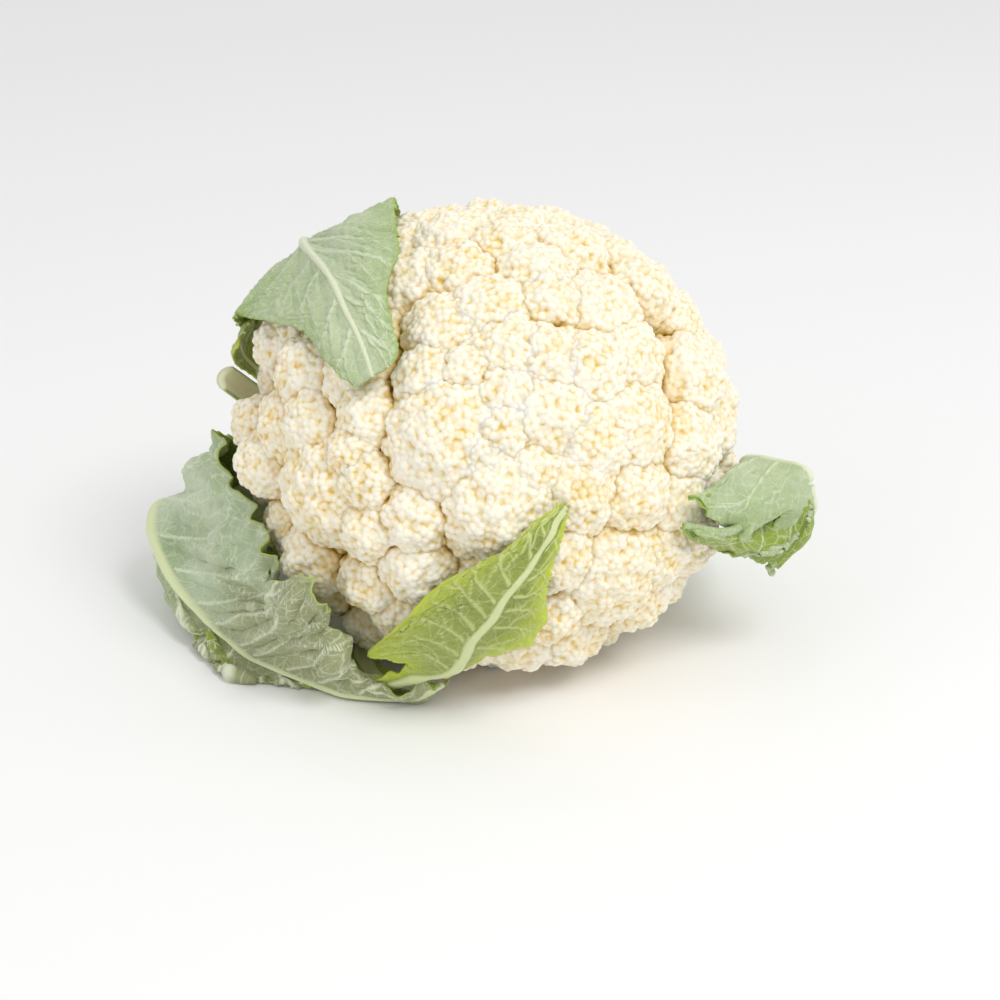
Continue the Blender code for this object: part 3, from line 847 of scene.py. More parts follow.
@dataclass
class Leaf:
    """A leaf lofted through rows from the stalk to the tip, with its veins, teeth and waves.

    Each row runs across the blade, with the midrib in the middle.
    """

    name: str
    rows: list
    finish: LeafFinish
    veins: tuple
    rib: float = 0.006
    rib_end: float = 0.002
    rib_width: tuple[float, float] = (0.0034, 0.0011)
    stem_share: float = 0.33
    blade: float = 0.0011
    lines: int = 380
    columns: int = 110
    teeth: float = 0.0011
    tooth_pitch: float = 0.0031
    wave: float = 0.0012
    crumple: float = 0.0011
    puff: float = 0.0013
    puff_width: float = 0.0038
    vein_height: float = 0.0006
    vein_width: float = 0.0011
    clearance: float = 0.0006
    slot: Slot = Slot.OUTER_LEAF
    node: str = ""
    # Where along the leaf its olive tone and painted shade begin; beyond 1 there is none.
    olive_and_shade_from: float = 2.0
    seed: int = 1
    rib_foot: float = 0.0018
    rib_foot_share: float = 0.16
    fine_length: float = 0.0034
    fine_height: float = 0.00007
    floor_gap: float = 0.0003
    # Lengths of the waves at the edge and of the blade's crumples in metres, each with its share.
    wave_lengths: tuple = ((0.021, 1.0), (0.011, 0.5), (0.006, 0.22))
    crumple_lengths: tuple = ((0.034, 1.0), (0.017, 0.55), (0.0085, 0.3))

    def grid(self) -> tuple[np.ndarray, np.ndarray, np.ndarray]:
        """The blade's smooth middle: points, and how far each lies across and along in metres."""
        rows = np.array(self.rows, float)
        spans = np.linalg.norm(np.diff(rows, axis=0), axis=2).mean(axis=1)
        reach = np.concatenate([[0], np.cumsum(spans)])
        places = np.interp(np.linspace(0, reach[-1], self.lines), reach, np.arange(len(rows)))
        across = smooth_curve(rows.swapaxes(0, 1), np.linspace(0, 4, self.columns)).swapaxes(0, 1)
        points = smooth_curve(across, places)
        steps = np.linalg.norm(np.diff(points, axis=1), axis=2)
        x = np.concatenate([np.zeros((self.lines, 1)), np.cumsum(steps, axis=1)], axis=1)
        x -= (x[:, (self.columns - 1) // 2] + x[:, self.columns // 2])[:, None] / 2
        middle = np.linalg.norm(np.diff(points[:, self.columns // 2], axis=0), axis=1)
        y = np.concatenate([[0], np.cumsum(middle)])
        return points, x, np.repeat(y[:, None], self.columns, axis=1)

    def normals(self, points: np.ndarray) -> np.ndarray:
        """Unit normals of the blade that point away from the head where the leaf springs from it."""
        found = np.cross(np.gradient(points, axis=1), np.gradient(points, axis=0))
        found /= np.maximum(np.linalg.norm(found, axis=2, keepdims=True), 1e-12)
        root = slice(0, self.lines // 12)
        facing = (found[root] * (points[root] - CENTRE)).sum()
        return found * np.sign(facing)

    def on_blade(self, grid: np.ndarray, across: np.ndarray, share: np.ndarray) -> np.ndarray:
        """Reads a grid of numbers between its points.

        Args:
            grid: one number for each line and column of the blade.
            across: places from -1 at one edge to 1 at the other.
            share: places from 0 at the root to 1 at the tip.

        Returns:
            One number for each place.
        """
        line = np.clip(share * (self.lines - 1), 0, self.lines - 1.001)
        column = np.clip((across + 1) / 2 * (self.columns - 1), 0, self.columns - 1.001)
        i, j = line.astype(int), column.astype(int)
        p, q = line - i, column - j
        near = (1 - q) * grid[i, j] + q * grid[i, j + 1]
        far = (1 - q) * grid[i + 1, j] + q * grid[i + 1, j + 1]
        return (1 - p) * near + p * far

    def vein_lines(self, x: np.ndarray, y: np.ndarray, random: np.random.Generator) -> np.ndarray:
        """Side veins and their forks as points on the flattened blade: across, along and width.

        Args:
            x: how far each point of the blade lies across it.
            y: how far each lies along it.
            random: the source of the veins' bends.

        Returns:
            (n, 3) points in metres, or one point far away if there are no veins.
        """
        made = []

        def draw(a0: float, s0: float, a1: float, s1: float, width: float, forks: int) -> None:
            """Draws one vein between two places on the blade, and its forks."""
            t = np.linspace(0, 1, 70)
            bend = random.uniform(0.7, 1.0)
            weave = 0.012 * np.sin(t * math.pi * random.uniform(1.5, 3) + random.uniform(0, 6)) * t
            a, share = a0 + (a1 - a0) * t, s0 + (s1 - s0) * t**bend + weave * 0.5
            thick = width * (1 - 0.65 * t)
            made.append(np.column_stack([self.on_blade(x, a, share), self.on_blade(y, a, share), thick]))
            for k in range(forks):
                f = (0.34, 0.56, 0.75)[k] + random.uniform(-0.05, 0.05)
                way = (1, -1, 1)[k] * random.uniform(0.6, 1.1)
                fork_to = s1 + way * (0.028 + 0.02 * (1 - f))
                i = int(f * 69)
                draw(a[i], share[i], a0 + (a1 - a0) * min(1, f + 0.42), fork_to, thick[i] * 0.72, 0)

        for side, start, end in self.veins:
            draw(0.0, start, side * 0.97, end, self.vein_width, 3)
        return np.vstack(made) if made else np.array([(9.0, 9.0, 1.0)])

    def nearest_vein(
        self, x: np.ndarray, y: np.ndarray, random: np.random.Generator
    ) -> tuple[np.ndarray, np.ndarray]:
        """How far each point of the blade lies from the nearest vein, and how wide that vein is there."""
        veins = self.vein_lines(x, y, random)
        tree = KDTree(len(veins))
        for number, (across, along, _) in enumerate(veins):
            tree.insert((across, along, 0), number)
        tree.balance()
        near = [tree.find((a, b, 0))[1:] for a, b in zip(x.ravel().tolist(), y.ravel().tolist())]
        apart = np.array([distance for _, distance in near]).reshape(x.shape)
        return apart, veins[[number for number, _ in near], 2].reshape(x.shape)

    def ripple(
        self, x: np.ndarray, y: np.ndarray, length: float, random: np.random.Generator
    ) -> np.ndarray:
        """A straight wave across the blade, at a random angle."""
        angle, phase = random.uniform(0, math.pi), random.uniform(0, 6)
        return np.sin(2 * math.pi * (x * math.cos(angle) + y * math.sin(angle)) / length + phase)

    def relief(
        self, x: np.ndarray, y: np.ndarray, random: np.random.Generator
    ) -> tuple[np.ndarray, np.ndarray, np.ndarray]:
        """Waves of the edge, crumples of the blade and its fine grain, the last in metres."""
        waves, rough, fine = np.zeros_like(x), np.zeros_like(x), np.zeros_like(x)
        for length, size in self.wave_lengths:
            side = np.where(x < 0, random.uniform(0, 6), random.uniform(0, 6))
            waves += size * np.sin(2 * math.pi * y / length + side + 9 * np.sin(y * 37 + side))
        for length, size in self.crumple_lengths:
            for _ in range(3):
                rough += size / 2 * self.ripple(x, y, length, random)
        for _ in range(5):
            fine += self.fine_height * self.ripple(x, y, self.fine_length, random)
        return waves, rough, fine

    def tooth(self, x: np.ndarray, y: np.ndarray) -> np.ndarray:
        """How far each point would stand out as part of a tooth, if it lay at the edge."""
        phase = y / self.tooth_pitch + 0.7 * np.sin(y * 410 + self.seed) + np.where(x < 0, 0.0, 0.37)
        saw = 1 - np.abs((phase % 1) * 2 - 1) ** 0.8
        unevenness = 0.65 + 0.35 * np.sin(y * 230 + np.where(x < 0, 1.0, 4.0))
        return (saw - 0.4) * self.teeth * unevenness

    def build(self) -> bpy.types.Object:
        """Makes the leaf as one closed piece."""
        random = np.random.default_rng(self.seed)
        points, x, y = self.grid()
        normal = self.normals(points)
        half = np.where(x < 0, -x[:, :1], x[:, -1:])
        out = np.abs(x) / np.maximum(half, 1e-6)
        to_edge = half - np.abs(x)
        share = y / y[-1, 0]
        stem = 1 - swept(share, self.stem_share * 0.55, self.stem_share)
        blade_share = (1 - stem) * swept(share, 0.0, 0.06)

        width = self.rib_width[0] + (self.rib_width[1] - self.rib_width[0]) * share
        width = np.maximum(width, stem * half * 0.95)
        off_rib = np.maximum(np.abs(x) - width, 0)
        rib_shape = np.sqrt(np.clip(1 - (np.abs(x) / width) ** 2, 0, 1))
        foot = np.exp(-off_rib / self.rib_foot) * self.rib_foot_share
        rib_rise = (self.rib + (self.rib_end - self.rib) * share - self.blade) * np.maximum(rib_shape, foot)

        apart, vein_width = self.nearest_vein(x, y, random)
        vein = np.exp(-((apart / (vein_width * 0.62)) ** 2)) * (1 - stem) * swept(off_rib, 0.0, 0.0012)
        quilt = (1 - np.exp(-((np.minimum(apart, off_rib) / self.puff_width) ** 2))) * (1 - stem)
        waves, rough, fine = self.relief(x, y, random)
        fine *= swept(off_rib, 0.0, 0.003)
        lift = waves * self.wave * swept(out, 0.55, 1.0) ** 1.5 * blade_share
        lift += rough * self.crumple * swept(out, 0.05, 0.5) * blade_share
        lift += fine * blade_share - quilt * self.puff

        outward = np.gradient(points, axis=1)
        outward /= np.maximum(np.linalg.norm(outward, axis=2, keepdims=True), 1e-12)
        tooth = self.tooth(x, y) * swept(-to_edge, -0.0026, 0.0) * blade_share
        points = points + outward * (np.sign(x) * tooth)[..., None] + normal * lift[..., None]
        thickness = self.blade * (1 - 0.45 * swept(out, 0.6, 1.0)) + rib_rise
        thickness += vein * self.vein_height * (1 - 0.5 * out)
        points = self.kept_clear(points, normal, thickness)
        # Partly an olive tone, partly painted shade, towards the tip of the leaf.
        age = swept(share + 0.05 * np.sin(x * 190), self.olive_and_shade_from, self.olive_and_shade_from + 0.22) * 0.75
        marks = {
            "vein": vein,
            "rib": np.clip(rib_shape * 1.6, 0, 1),
            "edge": np.exp(-to_edge / 0.0009) * blade_share,
            "outwards": out,
            "age": age,
        }
        flat = np.column_stack([x.ravel(), y.ravel()])
        return self.closed(points, thickness, marks, flat, normal)

    def kept_clear(self, points: np.ndarray, normal: np.ndarray, thickness: np.ndarray) -> np.ndarray:
        """Moves the blade out where either face is in the curd, and up off the floor."""
        flat, away = points.reshape(-1, 3).copy(), normal.reshape(-1, 3)
        for height in (np.zeros((len(flat), 1)), thickness.reshape(-1, 1)):
            arm = flat + away * height - CENTRE
            far = np.linalg.norm(arm, axis=1)
            arm /= far[:, None]
            flat += arm * np.maximum(CURD.reach(arm) + self.clearance - far, 0)[:, None]
            face = flat + away * height
            flat[:, 2] += np.maximum(self.floor_gap - face[:, 2], 0)
        return flat.reshape(points.shape)

    def closed(
        self,
        points: np.ndarray,
        thickness: np.ndarray,
        marks: dict,
        flat: np.ndarray,
        normal: np.ndarray,
    ) -> bpy.types.Object:
        """Turns the blade's middle into a solid leaf, thicker at its ribs and veins.

        Args:
            points: the blade's inner face, by line and column.
            thickness: how thick the leaf is at each point.
            marks: numbers for the finish at each point, by name.
            flat: (n, 2) places on the flattened blade.
            normal: which way the leaf thickens at each point.

        Returns:
            The piece.
        """
        clear_selection()
        bpy.ops.mesh.primitive_grid_add(
            x_subdivisions=self.columns - 1, y_subdivisions=self.lines - 1, size=1
        )
        leaf = bpy.context.object
        leaf.name = leaf.data.name = self.name
        mesh = leaf.data
        placed = points_of(mesh)
        column = np.rint((placed[:, 0] + 0.5) * (self.columns - 1)).astype(int)
        line = np.rint((placed[:, 1] + 0.5) * (self.lines - 1)).astype(int)
        set_points(mesh, points[line, column])
        face = mesh.polygons[0]
        if np.array(face.normal) @ normal[line, column][face.vertices[0]] < 0:
            mesh.flip_normals()
        order = line * self.columns + column
        for key, values in marks.items():
            set_attribute(mesh, key, values.ravel()[order])
        corners = np.empty(len(mesh.loops), np.int32)
        mesh.loops.foreach_get("vertex_index", corners)
        while mesh.uv_layers:
            mesh.uv_layers.remove(mesh.uv_layers[0])
        layer = mesh.uv_layers.new(name="flat")
        layer.data.foreach_set("uv", flat[order][corners].astype(np.float32).ravel())
        most = float(thickness.max())
        group = leaf.vertex_groups.new(name="thickness")
        for number, weight in enumerate((thickness.ravel()[order] / most).tolist()):
            group.add([number], weight, "REPLACE")
        solid = leaf.modifiers.new("body", "SOLIDIFY")
        solid.thickness = most
        solid.offset = 1
        solid.vertex_group = "thickness"
        solid.use_even_offset = False
        bpy.ops.object.modifier_apply(modifier="body")
        raised = points_of(mesh)
        raised[:, 2] = np.maximum(raised[:, 2], FLOOR_TOUCH)
        set_points(mesh, raised)
        inside = np.zeros(len(mesh.vertices))
        inside[: len(order)] = 1
        moved = np.linalg.norm(raised[: len(order)] - points[line, column], axis=1).mean()
        set_attribute(mesh, "inside", inside if moved < 1e-5 else 1 - inside)
        mesh.shade_smooth()
        return adopt(leaf, self.finish.build(), self.node or self.name)


def floor_rows(rows: list[Row]) -> list:
    """Rows given as floor places, as world points."""
    return [[HEAD.by_floor(*place) for place in row] for row in rows]


def head_rows(rows: list[Row]) -> list:
    """Rows given as head places, as world points."""
    return [[HEAD.on_head(*place) for place in row] for row in rows]


LEFT_LEAF = floor_rows([
    [(-27, 36, 22), (-28, 39, 19), (-29, 43, 16), (-28, 45, 12), (-27, 46, 9)],
    [(-45, 42, 27), (-46, 48, 22), (-48, 51, 17), (-47, 50, 12), (-46, 47, 8)],
    [(-68, 42, 38), (-71, 48, 28), (-72, 51, 19), (-71, 49, 12), (-68, 44, 6)],
    [(-86, 32, 52), (-94, 42, 38), (-97, 46, 23), (-94, 42, 12), (-86, 34, 3)],
    [(-93, 16, 64), (-108, 30, 46), (-114, 37, 27), (-111, 32, 14), (-98, 24, 3)],
    [(-94, 4, 69), (-108, 20, 44), (-122, 26, 30), (-117, 22, 15), (-101, 14, 3)],
    [(-93, -8, 72), (-108, 6, 41), (-123, 16, 27), (-121, 15, 15), (-104, 8, 1)],
    [(-92, -14, 63), (-104, -3, 38), (-121, 9, 24), (-121, 8, 13), (-106, 0, 1)],
    [(-87, -28, 61), (-99, -12, 35), (-118, 1, 21), (-119, 0, 12), (-106, -6, 1)],
    [(-82, -37, 54), (-93, -22, 32), (-113, -8, 17), (-115, -9, 10), (-103, -13, 1)],
    [(-76, -48, 51), (-87, -31, 29), (-106, -16, 12), (-110, -18, 8), (-98, -19, 1)],
    [(-73, -51, 43), (-82, -38, 26), (-100, -24, 9), (-106, -27, 7), (-93, -25, 1)],
    [(-77, -37, 30), (-78, -48, 28), (-93, -31, 7), (-102, -34, 5), (-88, -29, 1)],
    [(-69, -62, 45), (-73, -60, 32), (-88, -37, 6), (-98, -41, 4), (-84, -33, 1)],
    [(-64, -72, 52), (-69, -64, 30), (-83, -42, 5), (-93, -47, 3), (-78, -37, 1)],
    [(-58, -77, 50), (-64, -67, 27), (-75, -48, 5), (-84, -51, 1), (-71, -40, 1)],
    [(-54, -76, 41), (-58, -68, 22), (-66, -53, 4), (-73, -53, 1), (-64, -42, 1)],
    [(-54, -69, 30), (-54, -68, 18), (-57, -58, 3), (-61, -55, 1), (-58, -44, 1)],
    [(-52, -65, 20), (-49, -68, 13), (-50, -62, 3), (-52, -55, 1), (-52, -46, 1)],
    [(-44, -65, 12), (-42, -67, 8), (-41, -64, 3), (-42, -58, 1), (-44, -51, 1)],
    [(-36, -68, 9), (-34, -68, 6), (-32, -65, 3), (-33, -61, 1), (-35, -56, 1)],
    [(-28, -71, 9), (-27, -70, 7), (-25, -68, 5), (-24, -66, 4), (-25, -63, 5)],
    [(-19, -74, 13), (-18, -73, 12), (-17, -72, 12), (-16, -71, 12), (-15, -71, 13)],
])

FRONT_STEM = floor_rows([
    [(-13, 23, 8), (-15, 25, 8), (-17, 27, 8), (-19, 29, 9), (-21, 31, 10)],
    [(-30, 8, 6), (-32, 9, 6), (-34, 10, 6), (-36, 11, 6), (-38, 12, 7)],
    [(-39, -14, 5), (-41, -15, 5), (-43, -16, 5), (-45, -17, 5), (-47, -18, 6)],
    [(-42, -38, 5), (-43, -39, 5), (-45, -40, 5), (-47, -41, 5), (-49, -42, 6)],
    [(-33, -59, 8), (-35, -60, 7), (-37, -62, 7), (-39, -63, 8), (-41, -64, 9)],
])

FRONT_BLADE = head_rows([
    [(82, 258, 4), (83, 257, 4), (83, 255, 4), (82, 253, 4), (81, 252, 4)],
    [(77, 264, 4), (78, 262, 4), (78, 261, 4), (78, 255, 5), (80, 250, 5)],
    [(73, 268, 4), (73, 266, 4), (71, 264, 5), (72, 255, 6), (80, 246, 6)],
    [(71, 272, 3), (68, 270, 5), (64, 266, 6), (67, 255, 6), (81, 243, 5)],
    [(69, 279, 3), (63, 275, 5), (59, 270, 6), (60, 257, 6), (73, 246, 4)],
    [(62, 283, 3), (57, 278, 5), (54, 273, 6), (55, 261, 6), (64, 250, 4)],
    [(55, 284, 3), (53, 280, 5), (51, 276, 6), (50, 265, 6), (55, 255, 4)],
    [(50, 286, 3), (49, 283, 4), (48, 280, 5), (46, 271, 5), (49, 262, 4)],
    [(47, 289, 3), (45, 287, 4), (45, 284, 4), (44, 278, 4), (46, 271, 3)],
    [(43, 292, 3), (42, 290, 3), (42, 288, 4), (40, 284, 4), (41, 279, 3)],
    [(40, 295, 3), (40, 293, 3), (40, 291, 3), (39, 289, 3), (38, 287, 3)],
    [(38, 297, 3), (38, 296, 3), (38, 296, 3), (37, 295, 3), (37, 294, 3)],
])

TOP_LEAF = head_rows([
    [(148, 132, 8), (148, 123, 9), (148, 115, 9), (148, 107, 9), (148, 98, 8)],
    [(130, 134, 6), (130, 127, 7), (130, 120, 8), (130, 113, 7), (130, 106, 6)],
    [(113, 140, 5), (113, 132, 6), (113, 125, 7), (113, 118, 6), (113, 111, 5)],
    [(98, 150, 8), (97, 139, 7), (97, 129, 7), (96, 120, 6), (94, 111, 5)],
    [(86, 155, 11), (84, 144, 9), (82, 133, 8), (76, 124, 5), (71, 113, 4)],
    [(77, 156, 12), (74, 147, 9), (70, 137, 6), (60, 130, 4), (52, 118, 3)],
    [(73, 157, 8), (64, 151, 4), (51, 144, 3), (43, 135, 3), (38, 125, 3)],
    [(59, 161, 3), (48, 158, 3), (43, 149, 3), (35, 143, 3), (32, 132, 3)],
    [(46, 166, 3), (40, 164, 3), (35, 159, 3), (30, 154, 3), (28, 146, 3)],
    [(39, 176, 3), (34, 174, 3), (30, 169, 3), (27, 165, 3), (23, 161, 3)],
    [(34, 186, 3), (31, 185, 3), (27, 181, 3), (24, 179, 3), (20, 177, 3)],
    [(31, 193, 3), (29, 193, 3), (26, 192, 3), (23, 190, 3), (21, 189, 3)],
])

RIGHT_LEAF = floor_rows([
    [(27, 36, 22), (28, 39, 19), (29, 43, 16), (28, 45, 12), (27, 46, 9)],
    [(44, 40, 31), (47, 46, 27), (49, 49, 22), (48, 48, 16), (46, 45, 12)],
    [(62, 34, 42), (67, 42, 38), (70, 47, 33), (70, 46, 24), (67, 42, 17)],
    [(80, 18, 48), (84, 24, 46), (87, 28, 41), (85, 24, 34), (80, 18, 29)],
    [(87, -4, 52), (91, 3, 52), (94, 8, 47), (91, 0, 40), (86, -6, 36)],
    [(84, -34, 60), (89, -21, 61), (93, 0, 54), (89, -25, 50), (83, -35, 48)],
    [(72, -58, 70), (81, -42, 68), (91, -8, 60), (86, -38, 56), (74, -56, 58)],
    [(65, -59, 74), (75, -51, 75), (88, -17, 68), (83, -42, 56), (63, -62, 67)],
    [(69, -59, 72), (79, -47, 71), (92, -20, 70), (88, -39, 53), (66, -60, 60)],
    [(74, -57, 66), (85, -42, 66), (97, -22, 70), (94, -36, 48), (72, -50, 52)],
    [(81, -43, 54), (89, -42, 64), (101, -24, 70), (98, -34, 44), (77, -39, 46)],
    [(85, -46, 52), (94, -40, 64), (105, -26, 70), (102, -34, 45), (82, -38, 43)],
    [(90, -42, 54), (99, -36, 63), (108, -28, 69), (105, -33, 47), (87, -36, 42)],
    [(94, -38, 56), (103, -34, 62), (109, -28, 65), (107, -32, 49), (91, -34, 39)],
    [(98, -36, 58), (105, -33, 59), (110, -28, 61), (108, -32, 49), (95, -32, 38)],
    [(99, -34, 56), (105, -32, 55), (111, -28, 55), (107, -31, 45), (97, -31, 36)],
    [(97, -33, 50), (103, -31, 49), (108, -28, 49), (103, -30, 41), (99, -30, 36)],
    [(98, -31, 43), (101, -30, 43), (104, -28, 44), (99, -30, 38), (98, -30, 36)],
    [(98, -30, 38), (100, -29, 38), (101, -28, 39), (97, -30, 35), (98, -29, 35)],
    [(96, -29, 34), (96, -29, 33), (97, -28, 32), (98, -28, 31), (99, -28, 31)],
])


def on_stalk(rows: list) -> list:
    """Rows of a leaf with one more in front of them, which lies against the stalk."""
    radius, lowest, highest, step_down = 0.0253, -0.0722, -0.0500, 0.001
    start = []
    for point in rows[0]:
        local = (np.array(point) - CENTRE) @ HEAD.axes().T
        local[:2] *= radius / np.hypot(local[0], local[1])
        local[2] = np.clip(local[2] - step_down, lowest, highest)
        start.append(CENTRE + local @ HEAD.axes())
    return [start, *rows]


def leaves() -> list[Leaf]:
    """The four leaves, with the places where their side veins leave the midrib and end."""
    left = ((-1, 0.30, 0.39), (-1, 0.36, 0.45), (-1, 0.43, 0.51), (-1, 0.50, 0.60), (-1, 0.56, 0.63),
            (-1, 0.60, 0.69), (-1, 0.68, 0.73), (-1, 0.71, 0.78), (-1, 0.76, 0.83), (-1, 0.80, 0.87),
            (-1, 0.86, 0.92), (1, 0.30, 0.36), (1, 0.38, 0.45), (1, 0.46, 0.53), (1, 0.53, 0.60),
            (1, 0.61, 0.67), (1, 0.68, 0.74), (1, 0.76, 0.82), (1, 0.84, 0.90))
    front = ((1, 0.60, 0.69), (1, 0.635, 0.735), (1, 0.66, 0.785), (1, 0.685, 0.83), (1, 0.72, 0.87),
             (1, 0.76, 0.91), (1, 0.82, 0.945), (1, 0.88, 0.97), (1, 0.93, 0.985), (-1, 0.66, 0.71),
             (-1, 0.71, 0.76), (-1, 0.75, 0.81), (-1, 0.79, 0.85), (-1, 0.84, 0.895), (-1, 0.90, 0.94))
    top = ((-1, 0.40, 0.52), (-1, 0.50, 0.64), (-1, 0.60, 0.73), (-1, 0.66, 0.80), (-1, 0.72, 0.86),
           (-1, 0.82, 0.915), (-1, 0.90, 0.965), (1, 0.42, 0.54), (1, 0.52, 0.65), (1, 0.60, 0.73),
           (1, 0.65, 0.81), (1, 0.78, 0.90), (1, 0.83, 0.94), (1, 0.91, 0.98))
    right = ((-1, 0.30, 0.40), (-1, 0.42, 0.50), (-1, 0.53, 0.57), (-1, 0.74, 0.62), (-1, 0.80, 0.74),
             (1, 0.34, 0.42), (1, 0.45, 0.54), (1, 0.56, 0.64), (1, 0.68, 0.76), (1, 0.80, 0.86))
    return [
        # Its tip half is partly olive, partly painted shade.
        Leaf("left_wrapper", on_stalk(LEFT_LEAF), BLUE_GREEN, left, node="left_leaf",
             lines=450, columns=104, crumple=0.0026, wave=0.002, puff=0.003, puff_width=0.0058,
             vein_width=0.0013, olive_and_shade_from=0.5, seed=3),
        Leaf("front_blade", on_stalk(FRONT_STEM + FRONT_BLADE), BRIGHT_GREEN, front, node="front_leaf",
             slot=Slot.INNER_LEAF, rib=0.0045, rib_end=0.0012, rib_width=(0.0045, 0.0007),
             stem_share=0.56, lines=420, columns=76, wave=0.0007, crumple=0.0004, seed=5),
        Leaf("top_wrapper", on_stalk(TOP_LEAF), SAGE_GREEN, top, node="top_leaf",
             rib_end=0.0012, rib_width=(0.0035, 0.0006), lines=380, columns=116, wave=0.0008,
             crumple=0.0004, seed=7),
        Leaf("right_wrapper", on_stalk(RIGHT_LEAF), SAGE_GREEN, right, node="right_leaf",
             rib_end=0.0012, rib_width=(0.0030, 0.0010), stem_share=0.3, lines=360, columns=120,
             wave=0.0009, crumple=0.0005, seed=9),
    ]


# ---------------------------------------------------------- the stalk, the core and the cut ribs


@dataclass
class Stalk:
    """The short stalk: fibrous skin turned round the crown axis, and a moist face where it was cut."""

    top: float = -0.0463
    end: float = -0.0742
    waist: float = 0.0218
    butt: float = 0.0243
    chamfer: float = 0.0011
    sides: int = 220
    bands: int = 90
    rings: int = 46
    fibre: float = 0.00028
    fibre_counts: tuple = (5, 9, 17, 29, 43, 61)
    scar_count: int = 5
    scar_depth: float = 0.0009
    face_rise: float = 0.0007
    ring_height: float = 0.00006
    seed: int = 21

    def profile(self) -> np.ndarray:
        """Radius and height from the middle of the top, down the skin, to the middle of the cut."""
        heights = np.linspace(self.top, self.end + self.chamfer, self.bands)
        share = (heights - self.top) / (self.end - self.top)
        skin = self.waist + (self.butt - self.waist) * swept(share, 0.3, 0.85)
        lid = np.linspace(0, self.waist, 8)[:-1]
        face = np.linspace(self.butt - self.chamfer, 0, self.rings)
        radii = np.concatenate([lid, skin, face])
        levels = [np.full(len(lid), self.top), heights, np.full(self.rings, self.end)]
        return np.column_stack([radii, np.concatenate(levels)])

    def turned(self) -> bpy.types.Object:
        """The plain stalk, upright, turned from its profile."""
        clear_selection()
        profile = self.profile()
        bpy.ops.mesh.primitive_circle_add(vertices=3, radius=0.001)
        stalk = bpy.context.object
        stalk.name = stalk.data.name = "cut_stalk"
        stalk.data.clear_geometry()
        edges = [(k, k + 1) for k in range(len(profile) - 1)]
        stalk.data.from_pydata([(radius, 0, height) for radius, height in profile], edges, [])
        turned = stalk.modifiers.new("turned", "SCREW")
        turned.steps = turned.render_steps = self.sides
        turned.use_merge_vertices = True
        turned.merge_threshold = 0.00002
        bpy.ops.object.modifier_apply(modifier="turned")
        bpy.ops.object.mode_set(mode="EDIT")
        bpy.ops.mesh.select_all(action="SELECT")
        bpy.ops.mesh.normals_make_consistent(inside=False)
        bpy.ops.object.mode_set(mode="OBJECT")
        return stalk

    def build(self) -> bpy.types.Object:
        """Makes the stalk, flat where it rests on the floor."""
        random = np.random.default_rng(self.seed)
        stalk = self.turned()
        points = points_of(stalk.data)
        angle, radius = np.arctan2(points[:, 1], points[:, 0]), np.hypot(points[:, 0], points[:, 1])
        depth = (self.top - points[:, 2]) / (self.top - self.end)
        on_face = points[:, 2] < self.end + 0.0001
        skin = (radius > self.waist * 0.97) & ~on_face
        fibres = sum(
            random.uniform(0.4, 1)
            * np.sin(count * angle + random.uniform(0, 6) + 1.5 * np.sin(depth * 5 + count))
            for count in self.fibre_counts
        )
        scars = np.zeros(len(points))
        for _ in range(self.scar_count):
            middle, level = random.uniform(-math.pi, math.pi), random.uniform(0.35, 0.85)
            off = np.abs((angle - middle + math.pi) % (2 * math.pi) - math.pi) / 0.55
            scars = np.maximum(scars, np.exp(-(((depth - level - 0.06 * off**2) / 0.035) ** 2)) * (off < 1))
        swell = np.where(skin, fibres * self.fibre - scars * self.scar_depth, 0)
        points[:, :2] *= (1 + swell / np.maximum(radius, 0.001))[:, None]
        pith = radius / self.butt
        rings = np.sin(radius * 2600 + 2 * np.sin(angle * 3)) * self.ring_height
        rings += 0.0005 * swept(pith, 0.55, 0.9)
        points[:, 2] += np.where(on_face, self.face_rise - rings - 0.0004 * np.cos(angle + 1) * pith, 0)
        placed = points @ HEAD.axes() + CENTRE
        placed[:, 2] = np.maximum(placed[:, 2], 0)
        set_points(stalk.data, placed)
        set_attribute(stalk.data, "cut", np.where(on_face, 1.0, 0.0))
        set_attribute(stalk.data, "scar", np.maximum(scars * skin, on_face * swept(pith, 0.74, 0.8) * 0.5))
        stalk.data.shade_smooth()
        return adopt(stalk, StalkFinish().build(), "stalk")


